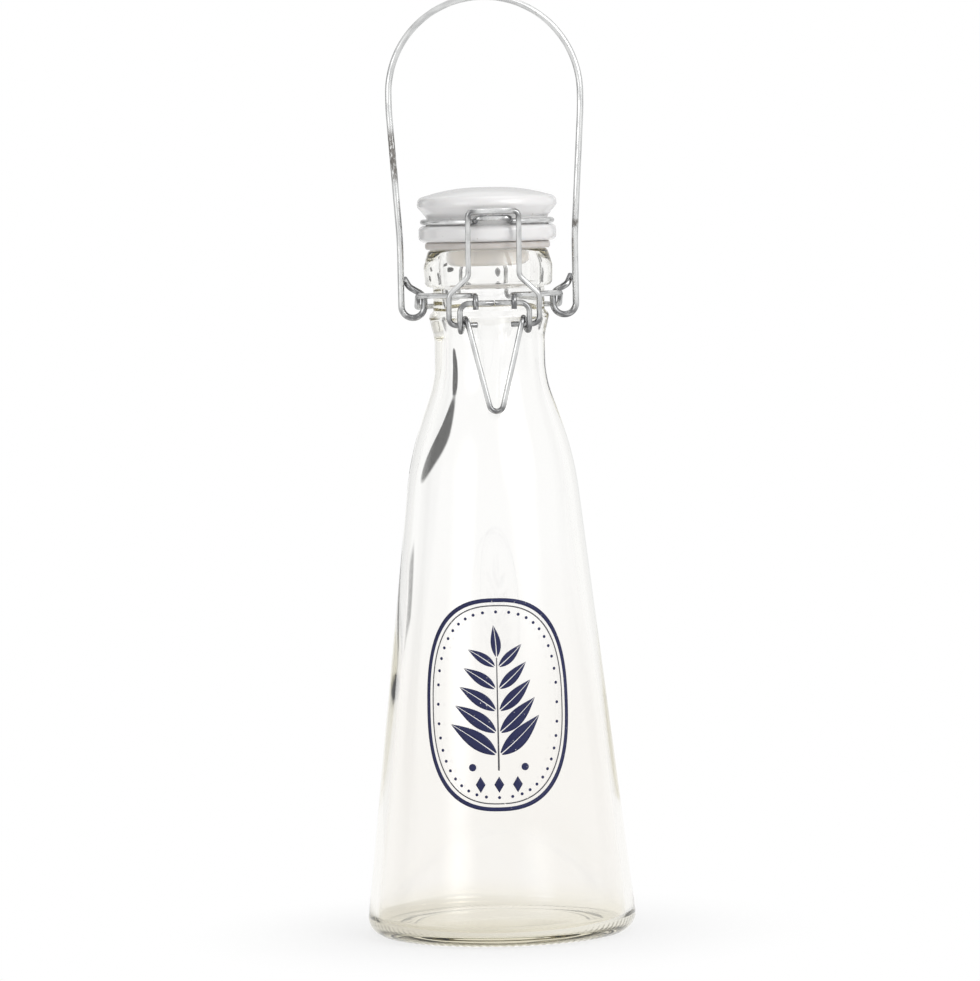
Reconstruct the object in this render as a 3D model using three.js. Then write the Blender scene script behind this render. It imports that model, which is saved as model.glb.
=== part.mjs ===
// Clip-top milk bottle: a conical glass bottle, a porcelain lid with a silicone gasket,
// a bent-wire bail closure and a bent-wire carrying handle.
// Millimetres, +Z up, origin at the centre of the base, the closure's lever faces -Y.
import * as THREE from 'three';

// Glass bottle: heights are lengths of the zones, counted up from the table.
const BASE_RADIUS = 44.5;
const BEARING_WIDTH = 11;
const BEARING_ROUNDING = 1;
const PUSH_UP = 1.4;
const PUSH_UP_RAMP = 6;
const PUSH_UP_ROUNDING = 12;
const HEEL_ROUNDING = 5.5;
const FLOOR_THICKNESS = 2.4;
const FLOOR_CROWN = 0.6;
const FLOOR_CORNER_ROUNDING = 3;
const WALL = 3;
const BODY_HEIGHT = 156.2;
const SHOULDER_RADIUS = 26.9;
const SHOULDER_ROUNDING = 100;
const SHOULDER_HEIGHT = 25.5;
const NECK_ROUNDING = 36;
const NECK_HEIGHT = 13.3;
const BEAD_SWELL = 1.7;
const BEAD_HEIGHT = 8.9;
const BEAD_FOOT_ROUNDING = 8;
const BEAD_TOP_SLOPE = 0.9;
const BEAD_STEP = 1.4;
const GROOVE_DEPTH = 1.5;
const GROOVE_ROUNDING = 0.6;
const FINISH_RADIUS = 21.1;
const FINISH_HEIGHT = 12.3;
const FINISH_FOOT_DRAFT = 0.3;
const FINISH_FOOT_RISE = 0.6;
const FINISH_FOOT_ROUNDING = 1.6;
const FINISH_BELLY_HEIGHT = 6.8;
const FINISH_BELLY_ROUNDING = 9;
const RIM_SETBACK = 1.7;
const RIM_ROUNDING = 1.3;
const RIM_WIDTH = 3;
const MOUTH_ROUNDING = 0.8;
const MOUTH_DEPTH = 6.2;
const THROAT_ROUNDING = 6;
const THROAT_FOOT_ROUNDING = 12;

// Lid and gasket.
const FLANGE_OVERHANG = 1.4;
const FLANGE_HEIGHT = 5.3;
const FLANGE_ROUNDING = 1.7;
const LID_OVERHANG = 0.4;
const LID_DOME_HEIGHT = 3.3;
const LID_DOME_ROUNDING = 60;
const LID_RIM_HEIGHT = 2.6;
const LID_RIM_DRAFT = 0.3;
const LID_RIM_ROUNDING = 1.4;
const LID_CROWN_ROUNDING = 2.2;
const LID_TAPER_HEIGHT = 3.8;
const LID_GROOVE_DEPTH = 2.7;
const LID_GROOVE_PLAY = 0.2;
const LID_GROOVE_ROUNDING = 0.5;
const LID_TAPER_ROUNDING = 1.2;
const PLUG_CLEARANCE = 2.5;
const PLUG_DEPTH = 6;
const PLUG_ROUNDING = 1.2;
const PLUG_ROOT_ROUNDING = 0.3;
const GASKET_OVERHANG = 1;
const GASKET_THICKNESS = 2.3;
const GASKET_OUTER_ROUNDING = 0.8;
const GASKET_INNER_ROUNDING = 0.4;

// Closure wires.
const WIRE = 1.8;
const WIRE_BEND = 2;
const TIGHT_BEND = 1.6;
const RING_RUNOUT = 2.2;
const NECK_WIRE_HEADROOM = 1.5;
const NECK_WIRE_FOOTROOM = 0.4;
const EAR_DROP = 3.8;
const EAR_SPREAD = 5;
const HOOK_HALF_SPACING = 6.2;
const HOOK_TAIL = 4.4;
const HINGE_RISE = 11.2;
const HINGE_HALF_SPACING = 5;
const HINGE_BAR_OVERHANG = 3.3;
const LID_LEG_BEND = 2.4;
const BRIDGE_HALF_WIDTH = 5.5;
const BRIDGE_RISE = 1.2;
const BRIDGE_REACH = 2.5;
const LEVER_HALF_WIDTH = 11.2;
const LEVER_ARCH_BEND = 3;
const LEVER_LENGTH = 34.9;
const LEVER_TIP_BEND = 2.3;
const LEVER_TO_LATCH = 7;
const LATCH_STANDOFF = 1.2;
const LATCH_FOOT_OVERHANG = 3.4;
const LATCH_TOP_OVERHANG = 2.7;
const LATCH_FOOT_RISE = 9.6;
const LATCH_FLARE_RISE = 6;
const LATCH_FLARE_BEND = 3;
const LATCH_PIN_LENGTH = 9.2;
const LATCH_PIN_BEND = 2.4;
const LATCH_BAR_BEND = 1.8;
const LATCH_BAR_LEAD = 0.4;
const LATCH_BAR_GAP = 0.35;

// Carrying handle.
const HANDLE_WIRE = 2.1;
const HANDLE_HEIGHT = 98.6;
const HANDLE_SHOULDER_DROP = 36;
const HANDLE_SHOULDER_BEND = 90;
const HANDLE_LID_CLEARANCE = 8.4;
const HANDLE_STRAIGHT = 20;
const HANDLE_FLARE_BEND = 120;
const HANDLE_EYE = 7.5;
const HANDLE_EYE_DROP = 1.5;
const HANDLE_NECK_DROP = 0.3;
const HANDLE_NECK_BEND = 3;
const HANDLE_TAIL_FOOT = 2.5;
const HANDLE_TAIL = 2.8;
const HANDLE_TAIL_LEAN = 1.5;
const HANDLE_TAIL_BEND = 2.2;

// Gaps between neighbouring pieces.
const SEAT_GAP = 0.15;
const WIRE_GAP = 0.3;
const PIVOT_GAP = 0.3;

// Surface resolution.
const WIRE_CHORD_ERROR = 0.06;
const OUTLINE_CHORD_ERROR = 0.12;
const COARSEST_CHORD_SHARE = 0.12;
const SHORTEST_STEP = 0.02;
const TURN_FACETS = 44;
const WIRE_FACETS = 8;

// Radii of the glass and of what sits on it follow from the finish round the mouth.
const BEAD_RADIUS = FINISH_RADIUS - BEAD_STEP;
const GROOVE_RADIUS = BEAD_RADIUS - GROOVE_DEPTH;
const NECK_RADIUS = BEAD_RADIUS - BEAD_SWELL;
const RIM_OUTER_RADIUS = FINISH_RADIUS - RIM_SETBACK;
const MOUTH_RADIUS = RIM_OUTER_RADIUS - RIM_WIDTH;
const BEARING_INNER_RADIUS = BASE_RADIUS - BEARING_WIDTH;
const GASKET_RADIUS = RIM_OUTER_RADIUS + GASKET_OVERHANG;
const PLUG_RADIUS = MOUTH_RADIUS - PLUG_CLEARANCE;
const FLANGE_RADIUS = FINISH_RADIUS + FLANGE_OVERHANG;
const LID_GROOVE_RADIUS = FLANGE_RADIUS - LID_GROOVE_DEPTH;
const LID_RADIUS = FLANGE_RADIUS + LID_OVERHANG;

// Levels of the glass: the groove is as high as the neck wire, with its dropped back, needs.
const GROOVE_HEIGHT = NECK_WIRE_FOOTROOM + WIRE + EAR_DROP + NECK_WIRE_HEADROOM;
const Z_SHOULDER = BODY_HEIGHT;
const Z_NECK = Z_SHOULDER + SHOULDER_HEIGHT;
const Z_BEAD = Z_NECK + NECK_HEIGHT;
const Z_GROOVE = Z_BEAD + BEAD_HEIGHT;
const Z_FINISH = Z_GROOVE + GROOVE_HEIGHT;
const Z_RIM = Z_FINISH + FINISH_HEIGHT;

// Levels of gasket and lid: the lid's groove is as high as its wire needs.
const LID_GROOVE_HEIGHT = WIRE + 2 * WIRE_GAP + LID_GROOVE_PLAY;
const Z_GASKET = Z_RIM + SEAT_GAP;
const Z_FLANGE = Z_GASKET + GASKET_THICKNESS + SEAT_GAP;
const Z_FLANGE_TOP = Z_FLANGE + FLANGE_HEIGHT;
const Z_TAPER = Z_FLANGE_TOP + LID_GROOVE_HEIGHT;
const Z_LID_RIM = Z_TAPER + LID_TAPER_HEIGHT;
const Z_LID_CROWN = Z_LID_RIM + LID_RIM_HEIGHT;
const Z_LID_TOP = Z_LID_CROWN + LID_DOME_HEIGHT;

// Centrelines of the wires: front is the distance from the bottle's axis towards the lever.
const WIRE_RADIUS = WIRE / 2;
const WIRE_PITCH = WIRE + WIRE_GAP;
const NECK_RING = GROOVE_RADIUS + WIRE_GAP + WIRE_RADIUS;
const LID_RING = LID_GROOVE_RADIUS + WIRE_GAP + WIRE_RADIUS;
const EYE_RADIUS = WIRE + PIVOT_GAP;
const Z_NECK_WIRE = Z_FINISH - NECK_WIRE_HEADROOM - WIRE_RADIUS;
const Z_NECK_WIRE_BACK = Z_NECK_WIRE - EAR_DROP;
const Z_LID_WIRE = Z_FLANGE_TOP + WIRE_GAP + WIRE_RADIUS;
const HINGE_BACK = FINISH_RADIUS + WIRE_GAP + WIRE_RADIUS + EYE_RADIUS;
const HINGE_FOOT_HALF_WIDTH = HINGE_HALF_SPACING + HINGE_BAR_OVERHANG;
const Z_HINGE = Z_NECK_WIRE_BACK + HINGE_RISE;
const LATCH_FRONT = BEAD_RADIUS + LATCH_STANDOFF;
const LEVER_FRONT = LATCH_FRONT + EYE_RADIUS;
const Z_LEVER = Z_NECK_WIRE - EYE_RADIUS - WIRE_GAP;
const Z_LATCH = Z_LEVER - LEVER_TO_LATCH;
const BRIDGE_FRONT = FLANGE_RADIUS + BRIDGE_REACH;
const Z_BRIDGE = Z_LID_WIRE + BRIDGE_RISE;
const LATCH_FOOT_HALF_WIDTH = LEVER_HALF_WIDTH + LATCH_FOOT_OVERHANG;
const LATCH_TOP_HALF_WIDTH = BRIDGE_HALF_WIDTH + LATCH_TOP_OVERHANG;
const LATCH_BAR_FRONT = BRIDGE_FRONT + LATCH_BAR_LEAD;
const Z_LATCH_BAR = Z_BRIDGE + WIRE + LATCH_BAR_GAP;
const HANDLE_RADIUS = HANDLE_WIRE / 2;
const EYE_INNER_X = BEAD_RADIUS + WIRE_GAP + HANDLE_RADIUS;
const EAR_X = EYE_INNER_X + HANDLE_RADIUS + PIVOT_GAP + WIRE_RADIUS;
const Z_HANDLE_PIVOT = Z_NECK_WIRE - EAR_DROP / 2;

const MATERIALS = {
  clear_glass: new THREE.MeshStandardMaterial({
    color: 0xdfe8e4, roughness: 0.05, transparent: true, opacity: 0.35,
  }),
  white_porcelain: new THREE.MeshStandardMaterial({ color: 0xf3f1ec, roughness: 0.15 }),
  silicone: new THREE.MeshStandardMaterial({ color: 0xe4e0d8, roughness: 0.6 }),
  zinc_wire: new THREE.MeshStandardMaterial({ color: 0xb9bab8, roughness: 0.35, metalness: 0.9 }),
};

// Straight runs joined by circular bends. Each corner is { at, bend }.
// A bend that does not fit between its neighbours is made smaller.
class BentPath extends THREE.Curve {
  constructor(corners, chordError) {
    super();
    this.chordError = chordError;
    this.samples = [];
    this.headings = [];
    const reaches = fittedReaches(corners);
    corners.forEach((corner, index) => this.addCorner(corners, reaches, corner, index));
  }

  addCorner(corners, reaches, corner, index) {
    const before = corners[index - 1];
    const after = corners[index + 1];
    if (!before || !after) {
      const heading = before ? direction(before.at, corner.at) : direction(corner.at, after.at);
      this.addSample(corner.at.clone(), heading);
      return;
    }
    const arriving = direction(before.at, corner.at);
    const leaving = direction(corner.at, after.at);
    const turn = arriving.angleTo(leaving);
    const reach = reaches[index];
    if (turn < 1e-6 || reach < 1e-6) {
      this.addSample(corner.at.clone(), arriving.clone().add(leaving).normalize());
      return;
    }
    const radius = reach / Math.tan(turn / 2);
    const start = corner.at.clone().addScaledVector(arriving, -reach);
    const inward = leaving.clone().addScaledVector(arriving, -leaving.dot(arriving)).normalize();
    const step = 2 * Math.acos(1 - Math.min(this.chordError / radius, COARSEST_CHORD_SHARE));
    const count = Math.ceil(turn / step);
    for (let k = 0; k <= count; k += 1) {
      const angle = (turn * k) / count;
      const point = start.clone();
      point.addScaledVector(arriving, radius * Math.sin(angle));
      point.addScaledVector(inward, radius * (1 - Math.cos(angle)));
      const heading = arriving.clone().multiplyScalar(Math.cos(angle));
      heading.addScaledVector(inward, Math.sin(angle));
      this.addSample(point, heading);
    }
  }

  addSample(point, heading) {
    const last = this.samples[this.samples.length - 1];
    if (last && last.distanceTo(point) < SHORTEST_STEP) return;
    this.samples.push(point);
    this.headings.push(heading.normalize());
  }

  get steps() {
    return this.samples.length - 1;
  }

  getPoint(t, target = new THREE.Vector3()) {
    return target.copy(this.samples[Math.round(t * this.steps)]);
  }

  getTangent(t, target = new THREE.Vector3()) {
    return target.copy(this.headings[Math.round(t * this.steps)]);
  }

  getPointAt(u, target) {
    return this.getPoint(u, target);
  }

  getTangentAt(u, target) {
    return this.getTangent(u, target);
  }
}

function direction(from, to) {
  return to.clone().sub(from).normalize();
}

// Length that each bend takes from its two neighbouring runs, shared out where a run is too short.
function fittedReaches(corners) {
  const wanted = corners.map((corner, index) => {
    const before = corners[index - 1];
    const after = corners[index + 1];
    if (!before || !after) return 0;
    const turn = direction(before.at, corner.at).angleTo(direction(corner.at, after.at));
    return corner.bend * Math.tan(turn / 2);
  });
  const fitted = wanted.slice();
  for (let index = 0; index + 1 < corners.length; index += 1) {
    const run = corners[index].at.distanceTo(corners[index + 1].at);
    const share = Math.min(1, run / Math.max(wanted[index] + wanted[index + 1], 1e-9));
    fitted[index] = Math.min(fitted[index], wanted[index] * share);
    fitted[index + 1] = Math.min(fitted[index + 1], wanted[index + 1] * share);
  }
  return fitted;
}

// Corner of a wire: sideways, towards the lever side (front), and up.
function corner(x, front, z, bend = WIRE_BEND) {
  return { at: new THREE.Vector3(x, -front, z), bend };
}

// Corner of a turned outline.
function edge(radius, z, rounding = 0) {
  return { at: new THREE.Vector3(radius, z, 0), bend: rounding };
}

// Left half of a wire followed by its mirror image.
function withMirror(leftHalf) {
  const rightHalf = leftHalf.map(({ at, bend }) => ({ at: new THREE.Vector3(-at.x, at.y, at.z), bend }));
  return [...leftHalf, ...rightHalf.reverse()];
}

// Corner whose bend follows a ring about the bottle's axis, on the left, between two angles from the front.
function ringCorner(radius, z, fromAngle, toAngle) {
  const middle = (fromAngle + toAngle) / 2;
  const reach = radius / Math.cos((toAngle - fromAngle) / 2);
  return corner(-reach * Math.sin(middle), reach * Math.cos(middle), z, radius);
}

// Front of the point where the ring's tangent at an angle from the front comes to a given half-width.
function tangentFront(radius, angle, halfWidth) {
  return (radius - halfWidth * Math.sin(angle)) / Math.cos(angle);
}

// Angle from the front where a straight wire from a point outside on the left meets the ring as a tangent.
function tangentAngle(radius, halfWidth, front) {
  return Math.atan2(halfWidth, front) - Math.acos(radius / Math.hypot(halfWidth, front));
}

function turned(name, corners, material) {
  const path = new BentPath(corners, OUTLINE_CHORD_ERROR);
  const outline = path.samples.map((point) => new THREE.Vector2(Math.max(point.x, 0), point.y));
  const geometry = new THREE.LatheGeometry(outline, TURN_FACETS);
  geometry.rotateX(Math.PI / 2);
  return named(name, geometry, material);
}

function bentWire(name, corners, diameter) {
  const path = new BentPath(corners, WIRE_CHORD_ERROR);
  const section = new THREE.Shape();
  for (let k = 0; k < WIRE_FACETS; k += 1) {
    const angle = (2 * Math.PI * (k + 0.5)) / WIRE_FACETS;
    const x = (diameter / 2) * Math.cos(angle);
    const y = (diameter / 2) * Math.sin(angle);
    if (k === 0) section.moveTo(x, y);
    else section.lineTo(x, y);
  }
  const options = { steps: path.steps, extrudePath: path, bevelEnabled: false };
  return named(name, new THREE.ExtrudeGeometry(section, options), MATERIALS.zinc_wire);
}

function named(name, geometry, material) {
  const mesh = new THREE.Mesh(geometry, material);
  mesh.name = name;
  return mesh;
}

// Corner between two straight walls, moved to the inside by the wall thickness.
function insideCorner(before, at, after, rounding) {
  const normalIn = new THREE.Vector2(before[1] - at[1], at[0] - before[0]).normalize();
  const normalOut = new THREE.Vector2(at[1] - after[1], after[0] - at[0]).normalize();
  const shift = normalIn.clone().add(normalOut);
  shift.multiplyScalar(WALL / (1 + normalIn.dot(normalOut)));
  return edge(at[0] + shift.x, at[1] + shift.y, rounding);
}

function makeGlassBottle() {
  const heel = [BASE_RADIUS, 0];
  const shoulder = [SHOULDER_RADIUS, Z_SHOULDER];
  const neck = [NECK_RADIUS, Z_NECK];
  const neckTop = [NECK_RADIUS, Z_BEAD];
  const innerShoulder = insideCorner(heel, shoulder, neck, SHOULDER_ROUNDING);
  const innerNeck = insideCorner(shoulder, neck, neckTop, NECK_ROUNDING);
  const floor = PUSH_UP + FLOOR_THICKNESS;
  const slope = (BASE_RADIUS - SHOULDER_RADIUS) / BODY_HEIGHT;
  const floorRadius = BASE_RADIUS - slope * floor - WALL * Math.hypot(1, slope);
  const pushUpRadius = BEARING_INNER_RADIUS - PUSH_UP_RAMP;
  return turned('glass_bottle', [
    edge(0, PUSH_UP),
    edge(pushUpRadius, PUSH_UP, PUSH_UP_ROUNDING),
    edge(BEARING_INNER_RADIUS, 0, BEARING_ROUNDING),
    edge(heel[0], heel[1], HEEL_ROUNDING),
    edge(shoulder[0], shoulder[1], SHOULDER_ROUNDING),
    edge(neck[0], neck[1], NECK_ROUNDING),
    edge(neckTop[0], neckTop[1], BEAD_FOOT_ROUNDING),
    edge(BEAD_RADIUS, Z_GROOVE - BEAD_TOP_SLOPE, GROOVE_ROUNDING),
    edge(GROOVE_RADIUS, Z_GROOVE, GROOVE_ROUNDING),
    edge(GROOVE_RADIUS, Z_FINISH, GROOVE_ROUNDING),
    edge(FINISH_RADIUS - FINISH_FOOT_DRAFT, Z_FINISH + FINISH_FOOT_RISE, FINISH_FOOT_ROUNDING),
    edge(FINISH_RADIUS, Z_FINISH + FINISH_BELLY_HEIGHT, FINISH_BELLY_ROUNDING),
    edge(RIM_OUTER_RADIUS, Z_RIM, RIM_ROUNDING),
    edge(MOUTH_RADIUS, Z_RIM, MOUTH_ROUNDING),
    edge(MOUTH_RADIUS, Z_RIM - MOUTH_DEPTH, THROAT_ROUNDING),
    edge(NECK_RADIUS - WALL, Z_GROOVE, THROAT_FOOT_ROUNDING),
    innerNeck,
    innerShoulder,
    edge(floorRadius, floor, FLOOR_CORNER_ROUNDING),
    edge(pushUpRadius, floor, PUSH_UP_ROUNDING),
    edge(0, floor + FLOOR_CROWN),
  ], MATERIALS.clear_glass);
}

function makeLid() {
  return turned('lid', [
    edge(0, Z_RIM - PLUG_DEPTH),
    edge(PLUG_RADIUS, Z_RIM - PLUG_DEPTH, PLUG_ROUNDING),
    edge(PLUG_RADIUS, Z_FLANGE, PLUG_ROOT_ROUNDING),
    edge(FLANGE_RADIUS, Z_FLANGE, FLANGE_ROUNDING),
    edge(FLANGE_RADIUS, Z_FLANGE_TOP, FLANGE_ROUNDING),
    edge(LID_GROOVE_RADIUS, Z_FLANGE_TOP, LID_GROOVE_ROUNDING),
    edge(LID_GROOVE_RADIUS, Z_TAPER, LID_TAPER_ROUNDING),
    edge(LID_RADIUS, Z_LID_RIM, LID_RIM_ROUNDING),
    edge(LID_RADIUS - LID_RIM_DRAFT, Z_LID_CROWN, LID_CROWN_ROUNDING),
    edge(LID_RADIUS / 2, Z_LID_TOP, LID_DOME_ROUNDING),
    edge(0, Z_LID_TOP),
  ], MATERIALS.white_porcelain);
}

function makeGasket() {
  const inner = PLUG_RADIUS + WIRE_GAP;
  const middle = Z_GASKET + GASKET_THICKNESS / 2;
  const top = Z_GASKET + GASKET_THICKNESS;
  return turned('gasket', [
    edge(inner, middle),
    edge(inner, Z_GASKET, GASKET_INNER_ROUNDING),
    edge(GASKET_RADIUS, Z_GASKET, GASKET_OUTER_ROUNDING),
    edge(GASKET_RADIUS, top, GASKET_OUTER_ROUNDING),
    edge(inner, top, GASKET_INNER_ROUNDING),
    edge(inner, middle),
  ], MATERIALS.silicone);
}

// One wire round the neck: the front hooks hold the lever, the side ears hold the handle
// and the raised back is the lid's hinge bar.
function makeNeckWire() {
  const earFront = EAR_SPREAD / 2;
  const startAngle = Math.asin((HOOK_HALF_SPACING + RING_RUNOUT) / NECK_RING);
  const endAngle = tangentAngle(NECK_RING, EAR_X, earFront);
  const hookFront = LEVER_FRONT + EYE_RADIUS;
  const hookBack = tangentFront(NECK_RING, startAngle, HOOK_HALF_SPACING);
  return bentWire('neck_wire', withMirror([
    corner(-HOOK_HALF_SPACING, hookFront, Z_NECK_WIRE - HOOK_TAIL),
    corner(-HOOK_HALF_SPACING, hookFront, Z_NECK_WIRE),
    corner(-HOOK_HALF_SPACING, hookBack, Z_NECK_WIRE, TIGHT_BEND),
    ringCorner(NECK_RING, Z_NECK_WIRE, startAngle, endAngle),
    corner(-EAR_X, earFront, Z_NECK_WIRE, TIGHT_BEND),
    corner(-EAR_X, -earFront, Z_NECK_WIRE_BACK, TIGHT_BEND),
    corner(-HINGE_FOOT_HALF_WIDTH, -HINGE_BACK, Z_NECK_WIRE_BACK),
    corner(-HINGE_FOOT_HALF_WIDTH, -HINGE_BACK, Z_HINGE),
  ]), WIRE);
}

// One wire round the lid: eyes on the hinge bar, a ring in the lid's groove
// and the bridge that the latch pulls on.
function makeLidWire() {
  const eyeFront = EYE_RADIUS - HINGE_BACK;
  const legFront = -EYE_RADIUS - HINGE_BACK;
  const backAngle = Math.PI - Math.asin((HINGE_HALF_SPACING + RING_RUNOUT) / LID_RING);
  const frontAngle = Math.asin((BRIDGE_HALF_WIDTH + RING_RUNOUT) / LID_RING);
  const middleAngle = (backAngle + frontAngle) / 2;
  const ringBack = tangentFront(LID_RING, backAngle, HINGE_HALF_SPACING);
  const ringFront = tangentFront(LID_RING, frontAngle, BRIDGE_HALF_WIDTH);
  return bentWire('lid_wire', withMirror([
    corner(-HINGE_HALF_SPACING, -HINGE_BACK, Z_HINGE + EYE_RADIUS),
    corner(-HINGE_HALF_SPACING, eyeFront, Z_HINGE + EYE_RADIUS, EYE_RADIUS),
    corner(-HINGE_HALF_SPACING, eyeFront, Z_HINGE - EYE_RADIUS, EYE_RADIUS),
    corner(-HINGE_HALF_SPACING, legFront, Z_HINGE - EYE_RADIUS, EYE_RADIUS),
    corner(-HINGE_HALF_SPACING, legFront, Z_LID_WIRE, LID_LEG_BEND),
    corner(-HINGE_HALF_SPACING, ringBack, Z_LID_WIRE, TIGHT_BEND),
    ringCorner(LID_RING, Z_LID_WIRE, middleAngle, backAngle),
    ringCorner(LID_RING, Z_LID_WIRE, frontAngle, middleAngle),
    corner(-BRIDGE_HALF_WIDTH, ringFront, Z_LID_WIRE, TIGHT_BEND),
    corner(-BRIDGE_HALF_WIDTH, BRIDGE_FRONT, Z_BRIDGE),
  ]), WIRE);
}

// The lever's wire starts and ends in the middle of its pivot bar and curls once round each latch pin.
function makeLever() {
  const leg = LEVER_HALF_WIDTH - WIRE_PITCH;
  const eyeShift = WIRE_PITCH / 3;
  const low = Z_LATCH - EYE_RADIUS;
  const high = Z_LATCH + EYE_RADIUS;
  const back = LATCH_FRONT - EYE_RADIUS;
  const tipDrop = high - (Z_LEVER - LEVER_LENGTH + LEVER_TIP_BEND);
  const tipAngle = Math.atan2(leg, tipDrop) - Math.asin(LEVER_TIP_BEND / Math.hypot(leg, tipDrop));
  const half = [
    corner(-WIRE_GAP / 2, LEVER_FRONT, Z_LEVER),
    corner(-LEVER_HALF_WIDTH, LEVER_FRONT, Z_LEVER, LEVER_ARCH_BEND),
    corner(-LEVER_HALF_WIDTH, LEVER_FRONT, low, EYE_RADIUS),
    corner(-LEVER_HALF_WIDTH + eyeShift, back, low, EYE_RADIUS),
    corner(-leg - eyeShift, back, high, EYE_RADIUS),
    corner(-leg, LEVER_FRONT, high, EYE_RADIUS),
  ];
  const tip = corner(0, LEVER_FRONT, high - leg / Math.tan(tipAngle), LEVER_TIP_BEND);
  const whole = withMirror(half);
  whole.splice(half.length, 0, tip);
  return bentWire('lever', whole, WIRE);
}

// The latch leans forward from its pins to the bar that sits on the lid wire's bridge.
function makeLatch() {
  const lean = (LATCH_BAR_FRONT - LATCH_FRONT) / (Z_LATCH_BAR - Z_LATCH);
  const flareTop = LATCH_FOOT_RISE + LATCH_FLARE_RISE;
  const leaning = (x, rise, bend) => corner(x, LATCH_FRONT + lean * rise, Z_LATCH + rise, bend);
  return bentWire('latch', withMirror([
    leaning(-LATCH_FOOT_HALF_WIDTH + LATCH_PIN_LENGTH, 0, 0),
    leaning(-LATCH_FOOT_HALF_WIDTH, 0, LATCH_PIN_BEND),
    leaning(-LATCH_FOOT_HALF_WIDTH, LATCH_FOOT_RISE, LATCH_FLARE_BEND),
    leaning(-LATCH_TOP_HALF_WIDTH, flareTop, LATCH_FLARE_BEND),
    leaning(-LATCH_TOP_HALF_WIDTH, Z_LATCH_BAR - Z_LATCH, LATCH_BAR_BEND),
  ]), WIRE);
}

// Each end of the handle is turned into an eye that runs through an ear of the neck wire,
// and its tail leans behind the leg.
function makeHandle() {
  const legX = EYE_INNER_X + HANDLE_EYE;
  const gripX = LID_RADIUS + HANDLE_LID_CLEARANCE;
  const tailStandoff = HANDLE_WIRE + 2 * WIRE_GAP;
  const tailX = legX - tailStandoff;
  const eyeRadius = HANDLE_EYE / 2;
  const eyeLow = Z_HANDLE_PIVOT - HANDLE_EYE_DROP - eyeRadius;
  const eyeHigh = eyeLow + HANDLE_EYE;
  const tailFoot = eyeHigh + HANDLE_TAIL_FOOT;
  const top = Z_HANDLE_PIVOT + HANDLE_HEIGHT;
  return bentWire('handle', withMirror([
    corner(-tailX - HANDLE_TAIL_LEAN, -tailStandoff, tailFoot + HANDLE_TAIL),
    corner(-tailX, 0, tailFoot, HANDLE_TAIL_BEND),
    corner(-EYE_INNER_X, 0, eyeHigh - HANDLE_NECK_DROP, HANDLE_NECK_BEND),
    corner(-EYE_INNER_X, 0, eyeLow, eyeRadius),
    corner(-legX, 0, eyeLow, eyeRadius),
    corner(-legX, 0, Z_HANDLE_PIVOT + HANDLE_STRAIGHT, HANDLE_FLARE_BEND),
    corner(-gripX, 0, top - HANDLE_SHOULDER_DROP, HANDLE_SHOULDER_BEND),
    corner(-gripX, 0, top, gripX),
  ]), HANDLE_WIRE);
}

const bottle = new THREE.Group();
bottle.name = 'milk_bottle';
bottle.add(makeGlassBottle());
bottle.add(makeLid());
bottle.add(makeGasket());
bottle.add(makeNeckWire());
bottle.add(makeLidWire());
bottle.add(makeLever());
bottle.add(makeLatch());
bottle.add(makeHandle());

export default bottle;
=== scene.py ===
"""Looks of a clip-top milk bottle: clear glass, porcelain lid, silicone gasket and bent zinc-plated wires.

Sizes are in millimetres in the part's frame: +Z up, origin at the centre of the base, lever towards -Y.
Meshes are written in metres.
"""

from __future__ import annotations

import logging
import math
from dataclasses import dataclass, field
from enum import Enum
from typing import Any, Callable, Sequence

import bpy
import numpy as np
from mathutils import Matrix, Vector

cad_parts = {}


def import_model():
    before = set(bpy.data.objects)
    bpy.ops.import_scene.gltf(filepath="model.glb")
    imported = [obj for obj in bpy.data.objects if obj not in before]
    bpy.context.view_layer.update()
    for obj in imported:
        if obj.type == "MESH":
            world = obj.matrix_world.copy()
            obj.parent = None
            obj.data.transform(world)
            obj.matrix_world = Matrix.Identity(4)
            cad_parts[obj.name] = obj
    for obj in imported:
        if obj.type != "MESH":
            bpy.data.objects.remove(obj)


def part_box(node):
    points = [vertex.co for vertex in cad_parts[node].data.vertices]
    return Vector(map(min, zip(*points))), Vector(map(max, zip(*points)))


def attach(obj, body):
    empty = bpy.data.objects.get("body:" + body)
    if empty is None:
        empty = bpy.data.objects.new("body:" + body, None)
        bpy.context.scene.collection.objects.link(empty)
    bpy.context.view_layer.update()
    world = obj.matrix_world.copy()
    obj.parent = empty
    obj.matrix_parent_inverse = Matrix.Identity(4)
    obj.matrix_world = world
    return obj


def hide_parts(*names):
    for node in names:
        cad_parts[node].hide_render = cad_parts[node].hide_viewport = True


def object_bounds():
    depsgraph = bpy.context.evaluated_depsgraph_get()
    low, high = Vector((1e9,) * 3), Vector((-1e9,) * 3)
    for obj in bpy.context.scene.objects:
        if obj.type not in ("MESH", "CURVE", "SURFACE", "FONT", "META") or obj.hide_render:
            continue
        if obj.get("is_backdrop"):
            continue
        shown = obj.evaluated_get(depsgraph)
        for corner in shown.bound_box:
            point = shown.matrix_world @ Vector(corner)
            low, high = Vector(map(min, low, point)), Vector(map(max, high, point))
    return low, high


LOG = logging.getLogger("milk_bottle")
MM = 0.001
TINY = 1e-9
CLOSE = 1e-6
BEVEL_SHARE = 0.09
# Reach, in diameters, of the darkening at cut ends: partly bare metal, partly painted shade.
END_WEAR_AND_SHADE_REACH = 3.0
PLACE = "surface_place"
BEND = "wire_bend"

Array = np.ndarray
Color = tuple[float, float, float]
Place = tuple[float, float, float]
Span = tuple[float, float]
Relief = Callable[[Array, Array], tuple[Array, Array]]


class Body(Enum):
    """Bodies of the frame that pieces ride on."""

    BOTTLE = "bottle"
    LID = "lid"
    LEVER = "lever"
    LATCH = "latch"
    HANDLE = "handle"


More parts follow.
